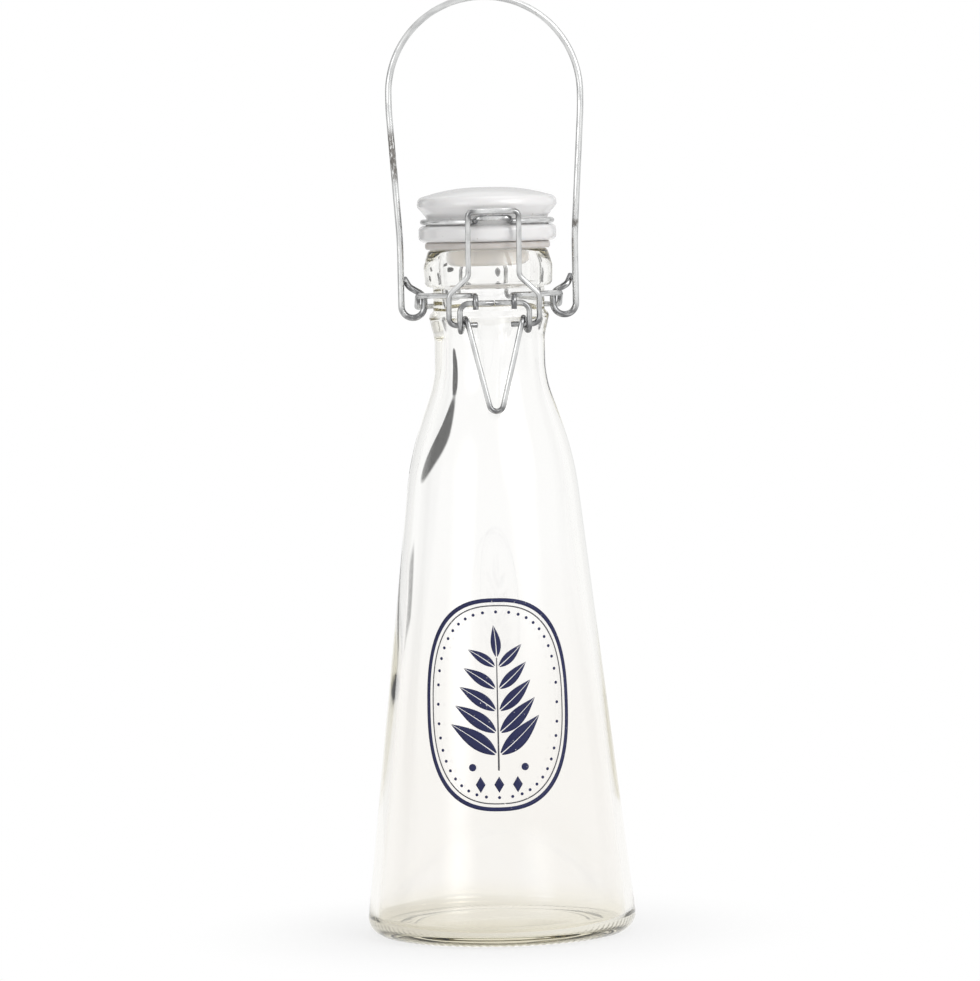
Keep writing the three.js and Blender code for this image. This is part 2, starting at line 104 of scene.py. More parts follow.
class Slot(Enum):
    """Material slots of the record."""

    GLASS = "clear_glass"
    PORCELAIN = "white_porcelain"
    SILICONE = "silicone"
    WIRE = "zinc_wire"


@dataclass(frozen=True)
class Corner:
    """Corner of an outline or a wire, with the radius of its bend."""

    x: float
    y: float
    z: float
    bend: float = 0.0


def edge(radius: float, z: float, rounding: float = 0.0) -> Corner:
    """Corner of a turned outline, which lies in the XZ plane."""
    return Corner(radius, 0.0, z, rounding)


def wire_corner(x: float, front: float, z: float, bend: float = 0.0) -> Corner:
    """Corner of a wire: sideways, towards the lever (front) and up."""
    return Corner(x, -front, z, bend)


def with_mirror(left_half: Sequence[Corner]) -> list[Corner]:
    """Left half of a wire followed by its mirror image."""
    right_half = [Corner(-c.x, c.y, c.z, c.bend) for c in reversed(left_half)]
    return [*left_half, *right_half]


def unit(vectors: Array) -> Array:
    """Vectors, along the last axis, at length 1."""
    return vectors / np.maximum(np.linalg.norm(vectors, axis=-1, keepdims=True), TINY)


def fitted_reaches(at: Array, bends: Array) -> Array:
    """Length that each bend takes from its two runs.

    It is bend * tan(turn / 2), made smaller in proportion where the two bends of a run do not fit on it.

    Args:
        at: corners, n by 3.
        bends: wanted bend radii, n.

    Returns:
        Reaches, n, zero at both ends.
    """
    runs = np.linalg.norm(np.diff(at, axis=0), axis=1)
    headings = unit(np.diff(at, axis=0))
    turns = np.arccos(np.clip((headings[:-1] * headings[1:]).sum(axis=1), -1.0, 1.0))
    wanted = np.zeros(len(at))
    wanted[1:-1] = bends[1:-1] * np.tan(turns / 2)
    share = np.minimum(1.0, runs / np.maximum(wanted[:-1] + wanted[1:], TINY))
    fitted = wanted.copy()
    fitted[:-1] = np.minimum(fitted[:-1], wanted[:-1] * share)
    fitted[1:] = np.minimum(fitted[1:], wanted[1:] * share)
    return fitted


@dataclass(frozen=True)
class Sampling:
    """How finely a path is sampled, in millimetres and degrees."""

    chord_error: float = 0.008
    coarsest_turn_deg: float = 12.0
    longest_run: float = 6.0
    shortest_step: float = 0.02
    largest_share: float = 0.5

    def turn_step(self, radius: float) -> float:
        """Angle whose chord leaves the arc by the chord error, in radians."""
        share = min(self.chord_error / max(radius, TINY), self.largest_share)
        return min(2 * math.acos(1 - share), math.radians(self.coarsest_turn_deg))


def bent_path(corners: Sequence[Corner], sampling: Sampling) -> tuple[Array, Array]:
    """Straight runs joined by circular bends.

    On a bend of radius R the point at angle a is start + R sin(a) arriving + R (1 - cos(a)) inward,
    and its heading is cos(a) arriving + sin(a) inward.

    Args:
        corners: corners of the path, in order.
        sampling: how fine the samples are.

    Returns:
        Points and unit headings, each n by 3.
    """
    at = np.array([[c.x, c.y, c.z] for c in corners])
    reaches = fitted_reaches(at, np.array([c.bend for c in corners]))
    runs = unit(np.diff(at, axis=0))
    points, headings = [at[:1]], [runs[:1]]
    for corner, reach, arriving, leaving in zip(at[1:-1], reaches[1:-1], runs[:-1], runs[1:]):
        cosine = float(np.clip(arriving @ leaving, -1.0, 1.0))
        turn = math.acos(cosine)
        if reach < TINY or turn < CLOSE:
            points.append(corner[None])
            headings.append(unit(arriving + leaving)[None])
            continue
        radius = reach / math.tan(turn / 2)
        count = math.ceil(turn / sampling.turn_step(radius))
        angle = np.linspace(0.0, turn, count + 1)[:, None]
        inward = unit(leaving - cosine * arriving)
        start = corner - reach * arriving
        points.append(start + radius * (np.sin(angle) * arriving + (1 - np.cos(angle)) * inward))
        headings.append(np.cos(angle) * arriving + np.sin(angle) * inward)
    points.append(at[-1:])
    headings.append(runs[-1:])
    return resampled(np.concatenate(points), np.concatenate(headings), sampling)


def resampled(points: Array, headings: Array, sampling: Sampling) -> tuple[Array, Array]:
    """Drops samples that coincide and divides runs that are too long into equal steps.

    Args:
        points: samples of a path, n by 3.
        headings: headings there, n by 3.
        sampling: shortest step and longest run.

    Returns:
        New points and headings.
    """
    steps = np.linalg.norm(np.diff(points, axis=0), axis=1)
    keep = np.concatenate([[True], steps > sampling.shortest_step])
    points, headings = points[keep], headings[keep]
    steps = np.linalg.norm(np.diff(points, axis=0), axis=1)
    counts = np.maximum(1, np.ceil(steps / sampling.longest_run)).astype(int)
    first = np.repeat(np.arange(len(steps)), counts)
    within = np.arange(counts.sum()) - np.repeat(np.cumsum(counts) - counts, counts)
    share = (within / np.repeat(counts, counts))[:, None]
    dense = points[first] * (1 - share) + points[first + 1] * share
    turning = unit(headings[first] * (1 - share) + headings[first + 1] * share)
    return np.concatenate([dense, points[-1:]]), np.concatenate([turning, headings[-1:]])


@dataclass
class Surface:
    """Points in millimetres, quads and triangles, and marks: numbers or vectors at the points, by name."""

    points: Array
    quads: Array
    tris: Array = field(default_factory=lambda: np.zeros((0, 3), int))
    marks: dict[str, Array] = field(default_factory=dict)

    @staticmethod
    def joined(parts: Sequence["Surface"]) -> "Surface":
        """All parts as one surface, with their face indices shifted."""
        shifts = np.cumsum([0, *[len(p.points) for p in parts[:-1]]])
        return Surface(
            np.concatenate([p.points for p in parts]),
            np.concatenate([p.quads + s for p, s in zip(parts, shifts)]),
            np.concatenate([p.tris + s for p, s in zip(parts, shifts)]),
        )

    def to_object(self, name: str) -> bpy.types.Object:
        """Writes the surface as a smooth-shaded mesh object at the origin.

        Args:
            name: name of the mesh and its object.

        Returns:
            The new object, linked to the scene.
        """
        mesh = bpy.data.meshes.new(name)
        mesh.vertices.add(len(self.points))
        mesh.vertices.foreach_set("co", (self.points * MM).astype(np.float32).ravel())
        loops = np.concatenate([self.quads.ravel(), self.tris.ravel()]).astype(np.int32)
        mesh.loops.add(len(loops))
        mesh.loops.foreach_set("vertex_index", loops)
        quad_starts = 4 * np.arange(len(self.quads))
        tri_starts = 4 * len(self.quads) + 3 * np.arange(len(self.tris))
        mesh.polygons.add(len(self.quads) + len(self.tris))
        mesh.polygons.foreach_set("loop_start", np.concatenate([quad_starts, tri_starts]).astype(np.int32))
        mesh.update(calc_edges=True)
        mesh.validate()
        mesh.shade_smooth()
        for mark, values in self.marks.items():
            kind, key = ("FLOAT", "value") if values.ndim == 1 else ("FLOAT_VECTOR", "vector")
            attribute = mesh.attributes.new(mark, kind, "POINT")
            attribute.data.foreach_set(key, values.astype(np.float32).ravel())
        made = bpy.data.objects.new(name, mesh)
        bpy.context.scene.collection.objects.link(made)
        return made


def grid_quads(rows: int, columns: int, wrap_rows: bool = False, wrap_columns: bool = False) -> Array:
    """Quads of a grid of points stored row by row.

    Args:
        rows: number of rows.
        columns: number of columns.
        wrap_rows: joins the last row to the first.
        wrap_columns: joins the last column to the first.

    Returns:
        Point indices, m by 4, in the order (row, column), (row, next), (next, next), (next, column).
    """
    row = np.arange(rows if wrap_rows else rows - 1)[:, None]
    column = np.arange(columns if wrap_columns else columns - 1)[None, :]
    below, above = row * columns, (row + 1) % rows * columns
    after = (column + 1) % columns
    quads = np.stack([below + column, below + after, above + after, above + column], axis=-1)
    return quads.reshape(-1, 4)


def square_grid(steps: int) -> tuple[Array, Array]:
    """Grid of u and v, each from -1 to 1."""
    side = np.linspace(-1.0, 1.0, steps)
    u, v = np.meshgrid(side, side)
    return u, v


def fan(pole: int, ring: Array, starts: bool) -> Array:
    """Triangles between a pole and a ring, facing out of a body that starts or ends at the pole."""
    after = np.roll(ring, -1)
    poles = np.full_like(ring, pole)
    order = [poles, after, ring] if starts else [ring, after, poles]
    return np.stack(order, axis=-1)


def turned(outline: Array, segments: int, relief: Relief | None = None) -> Surface:
    """Turns an outline about the Z axis: P(i, a) = (r_i cos a, r_i sin a, z_i).

    An outline that starts and ends on the axis gets a pole at each end, and one that ends where it
    starts becomes a ring.

    Args:
        outline: n by 3 samples whose x is the radius and z the height.
        segments: number of steps round the axis.
        relief: gives the new radius and height, from both stacked and the angles.

    Returns:
        The closed surface.
    """
    ring = bool(np.linalg.norm(outline[0] - outline[-1]) < CLOSE)
    body = outline[:-1] if ring else outline[1:-1]
    angle = np.linspace(0.0, 2 * math.pi, segments, endpoint=False)[None, :]
    radius = np.repeat(body[:, :1], segments, axis=1)
    height = np.repeat(body[:, 2:], segments, axis=1)
    if relief is not None:
        radius, height = relief(np.stack([radius, height]), angle)
    grid = np.stack([radius * np.cos(angle), radius * np.sin(angle), height], axis=-1)
    points = grid.reshape(-1, 3)
    quads = grid_quads(len(body), segments, wrap_rows=ring, wrap_columns=True)
    if ring:
        return Surface(points, quads)
    around = np.arange(segments)
    last = (len(body) - 1) * segments
    tris = np.concatenate([
        fan(len(points), around, starts=True),
        fan(len(points) + 1, last + around, starts=False),
    ])
    poles = outline[[0, -1]] * np.array([0.0, 0.0, 1.0])
    return Surface(np.concatenate([points, poles]), quads, tris)


def untwisted_normals(headings: Array) -> Array:
    """Normals along a path that turn only as much as the path does.

    Each heading first gets a normal square to its weakest axis. The angle by which the smallest turn
    from one heading to the next carries that normal past the next one is added up along the path and
    turns each normal back.

    Args:
        headings: unit headings, n by 3.

    Returns:
        Unit normals, n by 3.
    """
    weakest = np.eye(3)[np.argmin(np.abs(headings), axis=1)]
    normal = unit(np.cross(headings, weakest))
    binormal = np.cross(headings, normal)
    here, there = headings[:-1], headings[1:]
    axis = np.cross(here, there)
    cosine = (here * there).sum(axis=1, keepdims=True)
    along = (axis * normal[:-1]).sum(axis=1, keepdims=True)
    carried = normal[:-1] * cosine + np.cross(axis, normal[:-1]) + axis * along / (1 + cosine)
    angle = np.arctan2((carried * binormal[1:]).sum(axis=1), (carried * normal[1:]).sum(axis=1))
    total = np.concatenate([[0.0], np.cumsum(angle)])[:, None]
    return np.cos(total) * normal + np.sin(total) * binormal


def swept_wire(corners: Sequence[Corner], diameter: float, sampling: Sampling, sides: int,
               end_wear_and_shade: float) -> Surface:
    """Round wire along a bent path: P(s, a) = C(s) + R(s) (cos(a) N(s) + sin(a) B(s)).

    R is half the diameter, but shrinks over a short bevel at each cut end, and a pole closes the end.
    The place at a point is (cos a, sin a, s), with s the length along the wire in diameters. The bend is
    the turn of the heading per diameter, averaged along the wire with a bell curve of one diameter, and
    rises at the cut ends, where the plating is gone, by the given end amount over the end reach in
    diameters.
    The finish darkens the wire where the bend is high: partly worn plating, partly painted shade.

    Args:
        corners: corners of the wire's centreline.
        diameter: diameter of the wire.
        sampling: how fine the path is.
        sides: number of points round the wire.
        end_wear_and_shade: bend that a cut end counts as.

    Returns:
        The closed surface with its places and bends as marks.
    """
    bevel = BEVEL_SHARE * diameter
    centre, heading = bent_path(corners, sampling)
    first = np.stack([centre[0], centre[0] + bevel * heading[0]])
    last = np.stack([centre[-1] - bevel * heading[-1], centre[-1]])
    centre = np.concatenate([first, centre[1:-1], last])
    heading = np.concatenate([heading[[0, 0]], heading[1:-1], heading[[-1, -1]]])
    radius = np.full(len(centre), diameter / 2)
    radius[[0, -1]] -= bevel
    normal = untwisted_normals(heading)
    binormal = np.cross(heading, normal)
    angle = np.linspace(0.0, 2 * math.pi, sides, endpoint=False)[None, :, None]
    round_about = np.cos(angle) * normal[:, None] + np.sin(angle) * binormal[:, None]
    grid = centre[:, None] + radius[:, None, None] * round_about
    points = np.concatenate([grid.reshape(-1, 3), centre[[0, -1]]])
    steps = np.linalg.norm(np.diff(centre, axis=0), axis=1)
    along = np.concatenate([[0.0], np.cumsum(steps)]) / diameter
    place = np.stack(np.broadcast_arrays(
        np.cos(angle[..., 0]), np.sin(angle[..., 0]), along[:, None]), axis=-1).reshape(-1, 3)
    ends = np.array([[0.0, 0.0, along[0]], [0.0, 0.0, along[-1]]])
    cosines = np.clip((heading[:-1] * heading[1:]).sum(axis=1), -1.0, 1.0)
    middles = (along[:-1] + along[1:]) / 2
    nearness = np.exp(-((along[:, None] - middles[None, :]) ** 2) / 2) / math.sqrt(2 * math.pi)
    to_end = np.minimum(along, along[-1] - along)
    bend = nearness @ np.arccos(cosines) + end_wear_and_shade * np.exp(-(to_end / END_WEAR_AND_SHADE_REACH) ** 2)
    marks = {
        PLACE: np.concatenate([place, ends]),
        BEND: np.concatenate([np.repeat(bend, sides), bend[[0, -1]]]),
    }
    around = np.arange(sides)
    pole = len(centre) * sides
    tris = np.concatenate([
        fan(pole, around, starts=True),
        fan(pole + 1, pole - sides + around, starts=False),
    ])
    quads = grid_quads(len(centre), sides, wrap_columns=True)
    return Surface(points, quads, tris, marks)


class Signal:
    """A node's output in a shader expression; arithmetic on it adds Math nodes."""

    def __init__(self, shader: "Shader", socket: bpy.types.NodeSocket) -> None:
        """Keeps the shader that the socket belongs to."""
        self.shader = shader
        self.socket = socket

    def math(self, operation: str, *values: Any) -> "Signal":
        """A Math node on the values, in order."""
        return self.shader.node("ShaderNodeMath", {"operation": operation}, dict(enumerate(values)))

    def size(self) -> "Signal":
        """The number without its sign."""
        return self.math("ABSOLUTE", self)

    def __add__(self, other: Any) -> "Signal":
        """Sum."""
        return self.math("ADD", self, other)

    __radd__ = __add__

    def __sub__(self, other: Any) -> "Signal":
        """Difference."""
        return self.math("SUBTRACT", self, other)

    def __rsub__(self, other: Any) -> "Signal":
        """Difference from a number."""
        return self.math("SUBTRACT", other, self)

    def __mul__(self, other: Any) -> "Signal":
        """Product."""
        return self.math("MULTIPLY", self, other)

    __rmul__ = __mul__

    def at_most(self, other: Any) -> "Signal":
        """The smaller of the two."""
        return self.math("MINIMUM", self, other)

    def at_least(self, other: Any) -> "Signal":
        """The larger of the two."""
        return self.math("MAXIMUM", self, other)

    def between(self, low: float, high: float) -> "Signal":
        """Smooth step from 0 at low to 1 at high."""
        settings = {"interpolation_type": "SMOOTHSTEP"}
        ends = {"Value": self, "From Min": low, "From Max": high}
        return self.shader.node("ShaderNodeMapRange", settings, ends)

    def times_vector(self, factors: Place) -> "Signal":
        """A vector scaled along each axis."""
        return self.shader.node("ShaderNodeVectorMath", {"operation": "MULTIPLY"}, {0: self, 1: factors})

    def length(self) -> "Signal":
        """Length of a vector."""
        return self.shader.node("ShaderNodeVectorMath", {"operation": "LENGTH"}, {0: self}, "Value")

    def distance(self, point: Place) -> "Signal":
        """Distance of a place from a point."""
        ends = {0: self, 1: point}
        return self.shader.node("ShaderNodeVectorMath", {"operation": "DISTANCE"}, ends, "Value")

    def part(self, axis: str) -> "Signal":
        """One component of a vector."""
        return self.shader.node("ShaderNodeSeparateXYZ", {}, {"Vector": self}, axis)


class Shader:
    """Node tree of a material, a world or a light."""

    def __init__(self, owner: bpy.types.Material | bpy.types.World | bpy.types.Light) -> None:
        """Empties the owner's node tree."""
        owner.use_nodes = True
        self.tree = owner.node_tree
        self.tree.nodes.clear()

    def node(self, kind: str, settings: dict[str, Any], inputs: dict[Any, Any], output: Any = 0) -> Signal:
        """Adds a node.

        Args:
            kind: type of the node.
            settings: properties, set before the sockets.
            inputs: a value or a Signal for each named or numbered socket.
            output: name or number of the output that the Signal stands for.

        Returns:
            The output as a Signal.
        """
        made = self.tree.nodes.new(kind)
        for key, value in settings.items():
            setattr(made, key, value)
        for key, value in inputs.items():
            if isinstance(value, Signal):
                self.tree.links.new(value.socket, made.inputs[key])
            else:
                made.inputs[key].default_value = value
        return Signal(self, made.outputs[output])

    def object_place(self) -> Signal:
        """Object coordinates, in metres."""
        return self.node("ShaderNodeTexCoord", {}, {}, "Object")

    def mark(self, name: str, output: str = "Vector") -> Signal:
        """A mark of the surface: its Vector, or its Fac where it is a number."""
        return self.node("ShaderNodeAttribute", {"attribute_name": name}, {}, output)

    def mix(self, factor: Any, first: Any, second: Any) -> Signal:
        """Colour between first, at factor 0, and second, at factor 1."""
        first_color = (*first, 1.0) if isinstance(first, tuple) else first
        second_color = (*second, 1.0) if isinstance(second, tuple) else second
        inputs = {0: factor, 6: first_color, 7: second_color}
        return self.node("ShaderNodeMix", {"data_type": "RGBA"}, inputs, 2)

    def bump(self, height: Signal, distance: float) -> Signal:
        """Normal of a height field; distance is the height of 1, in metres."""
        return self.node("ShaderNodeBump", {}, {"Height": height, "Distance": distance, "Strength": 1.0})

    def close(self, kind: str, inputs: dict[str, Signal]) -> None:
        """Adds the output node, which has no outputs of its own."""
        made = self.tree.nodes.new(kind)
        for key, value in inputs.items():
            self.tree.links.new(value.socket, made.inputs[key])


@dataclass(frozen=True)
class Pattern:
    """Noise, stretched along the axes where a stretch is given, and its smooth step from low to high."""

    scale: float
    detail: float
    low: float = 0.0
    high: float = 1.0
    roughness: float = 0.5
    stretch: Place | None = None

    def noise(self, shader: Shader, place: Signal) -> Signal:
        """The noise, from 0 to 1."""
        at = place if self.stretch is None else place.times_vector(self.stretch)
        inputs = {"Vector": at, "Scale": self.scale, "Detail": self.detail, "Roughness": self.roughness}
        return shader.node("ShaderNodeTexNoise", {}, inputs)

    def mask(self, shader: Shader, place: Signal) -> Signal:
        """The noise's smooth step."""
        return self.noise(shader, place).between(self.low, self.high)


@dataclass(frozen=True)
class Scatter:
    """Light that spreads under the skin: its weight, and how far red, green and blue go."""

    weight: float
    reach: float
    color_shares: Color = (1.0, 0.9, 0.8)

    def sockets(self) -> dict[str, Any]:
        """Sockets of the spread."""
        return {
            "Subsurface Weight": self.weight,
            "Subsurface Radius": self.color_shares,
            "Subsurface Scale": self.reach,
        }


class Finish:
    """What every finish shares: a name and a material of one Principled BSDF."""

    name: str

    def sockets(self, shader: Shader) -> dict[str, Any]:
        """Sockets of the Principled BSDF."""
        raise NotImplementedError

    def inside(self) -> dict[str, Any] | None:
        """Colour and density of what absorbs light inside the piece, if anything does."""
        return None

    def material(self) -> bpy.types.Material:
        """Makes the material."""
        material = bpy.data.materials.new(self.name)
        shader = Shader(material)
        ends = {"Surface": shader.node("ShaderNodeBsdfPrincipled", {}, self.sockets(shader))}
        inside = self.inside()
        if inside is not None:
            ends["Volume"] = shader.node("ShaderNodeVolumeAbsorption", {}, inside)
        shader.close("ShaderNodeOutputMaterial", ends)
        return material


@dataclass(frozen=True)
class GlassFinish(Finish):
    """Clear soda-lime glass, olive where light goes far through it, with soft ripples and smudges."""

    name: str = "clear_glass"
    clear: Color = (1.0, 1.0, 1.0)
    warm: Color = (0.98, 0.97, 0.956)
    warm_levels: Span = (0.05, 0.14)
    heel: Color = (0.92, 0.90, 0.825)
    heel_levels: Span = (0.003, 0.014)
    smudged: Color = (0.985, 0.982, 0.975)
    smudges: Pattern = Pattern(30.0, 3.0, 0.55, 0.8)
    smudge_roughness: float = 0.035
    let_through: Color = (0.514, 0.44, 0.1)
    density: float = 6.0
    ior: float = 1.5
    ripples: Pattern = Pattern(46.0, 1.0, stretch=(1.0, 1.0, 0.35))
    ripple_height: float = 0.00005
    mouth_ripples: Pattern = Pattern(170.0, 1.0)
    mouth_ripple_share: float = 0.7
    mouth_levels: Span = (0.19, 0.215)

    def sockets(self, shader: Shader) -> dict[str, Any]:
        """Sockets of the glass; levels are heights between which a look comes in."""
        place = shader.object_place()
        height = place.part("Z")
        mouth_ripple = self.mouth_ripples.noise(shader, place) * height.between(*self.mouth_levels)
        ripple = self.ripples.noise(shader, place) + self.mouth_ripple_share * mouth_ripple
        smudge = self.smudges.mask(shader, place)
        body = shader.mix(height.between(*self.warm_levels), self.warm, self.clear)
        body = shader.mix(height.between(*self.heel_levels), self.heel, body)
        return {
            "Base Color": shader.mix(smudge, body, self.smudged),
            "Roughness": smudge * self.smudge_roughness,
            "Normal": shader.bump(ripple, self.ripple_height),
            "Transmission Weight": 1.0,
            "IOR": self.ior,
        }

    def inside(self) -> dict[str, Any]:
        """Absorption in the glass: density times one less the colour, per metre."""
        return {"Color": (*self.let_through, 1.0), "Density": self.density}


@dataclass(frozen=True)
class PorcelainFinish(Finish):
    """White porcelain under a clear gloss glaze, with faint clouds, rare specks and a beige plug: partly
    real stains, partly painted shade and warm reflection.
    """

    name: str = "glazed_porcelain"
    white: Color = (0.88, 0.87, 0.867)
    cloud: Color = (0.84, 0.83, 0.83)
    clouds: Pattern = Pattern(70.0, 3.0, 0.45, 0.75)
    # Beige on the plug: partly real stains, partly painted shade and warm reflection from inside the glass
    # mouth.
    plug_stain_and_shade: Color = (0.93, 0.86, 0.77)
    stains: Pattern = Pattern(130.0, 2.0, 0.0, 0.75)
    plug_stain_and_shade_levels: Span = (0.222, 0.2262)
    speck: Color = (0.42, 0.38, 0.34)
    specks: Pattern = Pattern(900.0, 0.0, 0.83, 0.86)
    speck_share: float = 0.6
    body_roughness: float = 0.28
    glaze: float = 0.96
    glaze_roughness: float = 0.06
    cloud_dulling: float = 0.06
    peel: Pattern = Pattern(160.0, 1.0)
    peel_height: float = 0.000004
    scatter: Scatter = Scatter(0.12, 0.0015)

    def sockets(self, shader: Shader) -> dict[str, Any]:
        """Sockets of the porcelain."""
        place = shader.object_place()
        clouds = self.clouds.mask(shader, place)
        specks = self.specks.mask(shader, place)
        body = shader.mix(clouds, self.white, self.cloud)
        # Painted shade and warm reflection, mixed with stains, on the plug below the flange.
        low = 1.0 - place.part("Z").between(*self.plug_stain_and_shade_levels)
        body = shader.mix(low * self.stains.mask(shader, place), body, self.plug_stain_and_shade)
        return {
            "Base Color": shader.mix(specks * self.speck_share, body, self.speck),
            "Roughness": self.body_roughness + self.cloud_dulling * clouds,
            "Normal": shader.bump(self.peel.noise(shader, place), self.peel_height),
            "Coat Weight": self.glaze - self.cloud_dulling * clouds,
            "Coat Roughness": self.glaze_roughness,
            **self.scatter.sockets(),
        }


@dataclass(frozen=True)
class SiliconeFinish(Finish):
    """Translucent off-white silicone with a satin skin and a little dust."""

    name: str = "silicone_rubber"
    body: Color = (0.68, 0.64, 0.61)
    dust: Color = (0.62, 0.58, 0.545)
    dusting: Pattern = Pattern(260.0, 4.0, 0.5, 0.75)
    skin_roughness: float = 0.36
    dust_roughness: float = 0.2
    grain: Pattern = Pattern(1500.0, 2.0)
    grain_height: float = 0.00002
    scatter: Scatter = Scatter(0.7, 0.003)
    ior: float = 1.42

    def sockets(self, shader: Shader) -> dict[str, Any]:
        """Sockets of the silicone."""
        place = shader.object_place()
        dusty = self.dusting.mask(shader, place)
        return {
            "Base Color": shader.mix(dusty, self.body, self.dust),
            "Roughness": self.skin_roughness + self.dust_roughness * dusty,
            "Normal": shader.bump(self.grain.noise(shader, place), self.grain_height),
            "IOR": self.ior,
            **self.scatter.sockets(),
        }


@dataclass(frozen=True)
class WornSpot:
    """Ball of space in which a wire's plating is worn, at y 0, in metres."""

    x: float
    z: float
    reach: float

    def nearness(self, shader: Shader) -> Signal:
        """1 in the inner half of the spot, falling to 0 at its reach."""
        away = shader.object_place().distance((self.x, 0.0, self.z))
        return 1.0 - away.between(self.reach / 2, self.reach)


@dataclass(frozen=True)
class WireFinish(Finish):
    """Drawn wire, thinly zinc-plated: fine lines along it, dull patches, tarnish, and bends and cut ends
    near black, partly worn plating and partly painted shade.
    """

    name: str = "zinc_plated_wire"
    zinc: Color = (0.70, 0.705, 0.70)
    dull: Color = (0.52, 0.525, 0.525)
    patches: Pattern = Pattern(0.8, 4.0, 0.38, 0.68, stretch=(1.0, 1.0, 0.45))
    # Near black at bends and cut ends: partly cracked, worn plating, partly painted shade where the
    # closure's wires crowd together.
    bent: Color = (0.09, 0.09, 0.095)
    bent_wear_and_shade_share: float = 0.85
    bend_levels: Span = (0.15, 0.6)
    crack_and_shade_patches: Pattern = Pattern(1.0, 3.0, 0.25, 0.52, stretch=(1.3, 1.3, 0.9))
    tarnish: Color = (0.10, 0.085, 0.07)
    tarnish_share: float = 0.8
    tarnish_cover: float = 0.55
    stains: Pattern = Pattern(1.0, 5.0, 0.64, 0.72, 0.65, (0.9, 0.9, 0.6))
    worn_spots: tuple[WornSpot, ...] = ()
    flakes: Pattern = Pattern(1.0, 5.0, 0.40, 0.50, 0.7, (1.6, 1.6, 0.9))
    plating_roughness: float = 0.15
    patch_roughness: float = 0.13
    line_roughness: float = 0.08
    tarnish_roughness: float = 0.35
    lines: Pattern = Pattern(1.0, 2.0, stretch=(7.0, 7.0, 0.25))
    line_height: float = 0.00002
    patch_height_share: float = 0.6

    def sockets(self, shader: Shader) -> dict[str, Any]:
        """Sockets of the wire, patterned by the place along and round it."""
        place = shader.mark(PLACE)
        lines = self.lines.noise(shader, place)
        patches = self.patches.mask(shader, place)
        tarnished = self.stains.mask(shader, place)
        for spot in self.worn_spots:
            tarnished = tarnished.at_least(spot.nearness(shader) * self.flakes.mask(shader, place))
        # Painted shade mixed with cracked plating: the bend mark, broken up by noise, darkens tight bends
        # and cut ends.
        cracked_and_shaded = self.crack_and_shade_patches.mask(shader, place)
        darkened = shader.mark(BEND, "Fac").between(*self.bend_levels) * cracked_and_shaded
        plated = shader.mix(patches, self.zinc, self.dull)
        bent = shader.mix(darkened * self.bent_wear_and_shade_share, plated, self.bent)
        roughness = self.plating_roughness + self.patch_roughness * patches + self.line_roughness * lines
        return {
            "Base Color": shader.mix(tarnished * self.tarnish_share, bent, self.tarnish),
            "Metallic": 1.0 - self.tarnish_cover * tarnished,
            "Roughness": roughness + self.tarnish_roughness * tarnished,
            "Normal": shader.bump(lines + self.patch_height_share * patches, self.line_height),
        }


@dataclass(frozen=True)
class InkFinish(Finish):
    """Fired screen-print ink, worn through in fine specks."""

    name: str = "navy_ink"
    ink: Color = (0.010, 0.013, 0.066)
    faded: Color = (0.026, 0.031, 0.098)
    wear: Pattern = Pattern(900.0, 4.0, 0.66, 0.70, 0.7)
    fading: Pattern = Pattern(120.0, 3.0)
    ink_roughness: float = 0.3
    faded_roughness: float = 0.2
    grain: Pattern = Pattern(2500.0, 1.0)
    grain_height: float = 0.00001
    gloss: float = 0.25

    def sockets(self, shader: Shader) -> dict[str, Any]:
        """Sockets of the ink."""
        place = shader.object_place()
        patches = self.fading.noise(shader, place)
        return {
            "Base Color": shader.mix(patches, self.ink, self.faded),
            "Roughness": self.ink_roughness + self.faded_roughness * patches,
            "Normal": shader.bump(self.grain.noise(shader, place), self.grain_height),
            "Alpha": 1.0 - self.wear.mask(shader, place),
            "Specular IOR Level": self.gloss,
        }


def dress(piece: bpy.types.Object, material: bpy.types.Material, body: Body,
          node: str | None = None) -> bpy.types.Object:
    """Gives a piece its finish and its place in the frame.

    Args:
        piece: the finished piece.
        material: its finish.
        body: the body that it moves with.
        node: the CAD node that it stands for.

    Returns:
        The piece.
    """
    piece.data.materials.append(material)
    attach(piece, body.value)
    if node is not None:
        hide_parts(node)
        low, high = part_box(node)
        corners = np.array([v[:] for v in piece.bound_box])
        off = max(np.abs(corners.min(axis=0) - low).max(), np.abs(corners.max(axis=0) - high).max())
        LOG.info("%s stands for %s, box within %.2f mm", piece.name, node, off / MM)
    else:
        LOG.info("%s rides on %s", piece.name, body.value)
    return piece


@dataclass(frozen=True)
class Wave:
    """Wave of the inner wall: size * sin(lobes * angle + height / climb + start)."""

    size: float
    lobes: int
    climb: float
    start: float = 0.0

    def at(self, angle: Array, height: Array) -> Array:
        """Values of the wave at the angles and heights."""
        return self.size * np.sin(self.lobes * angle + height / self.climb + self.start)


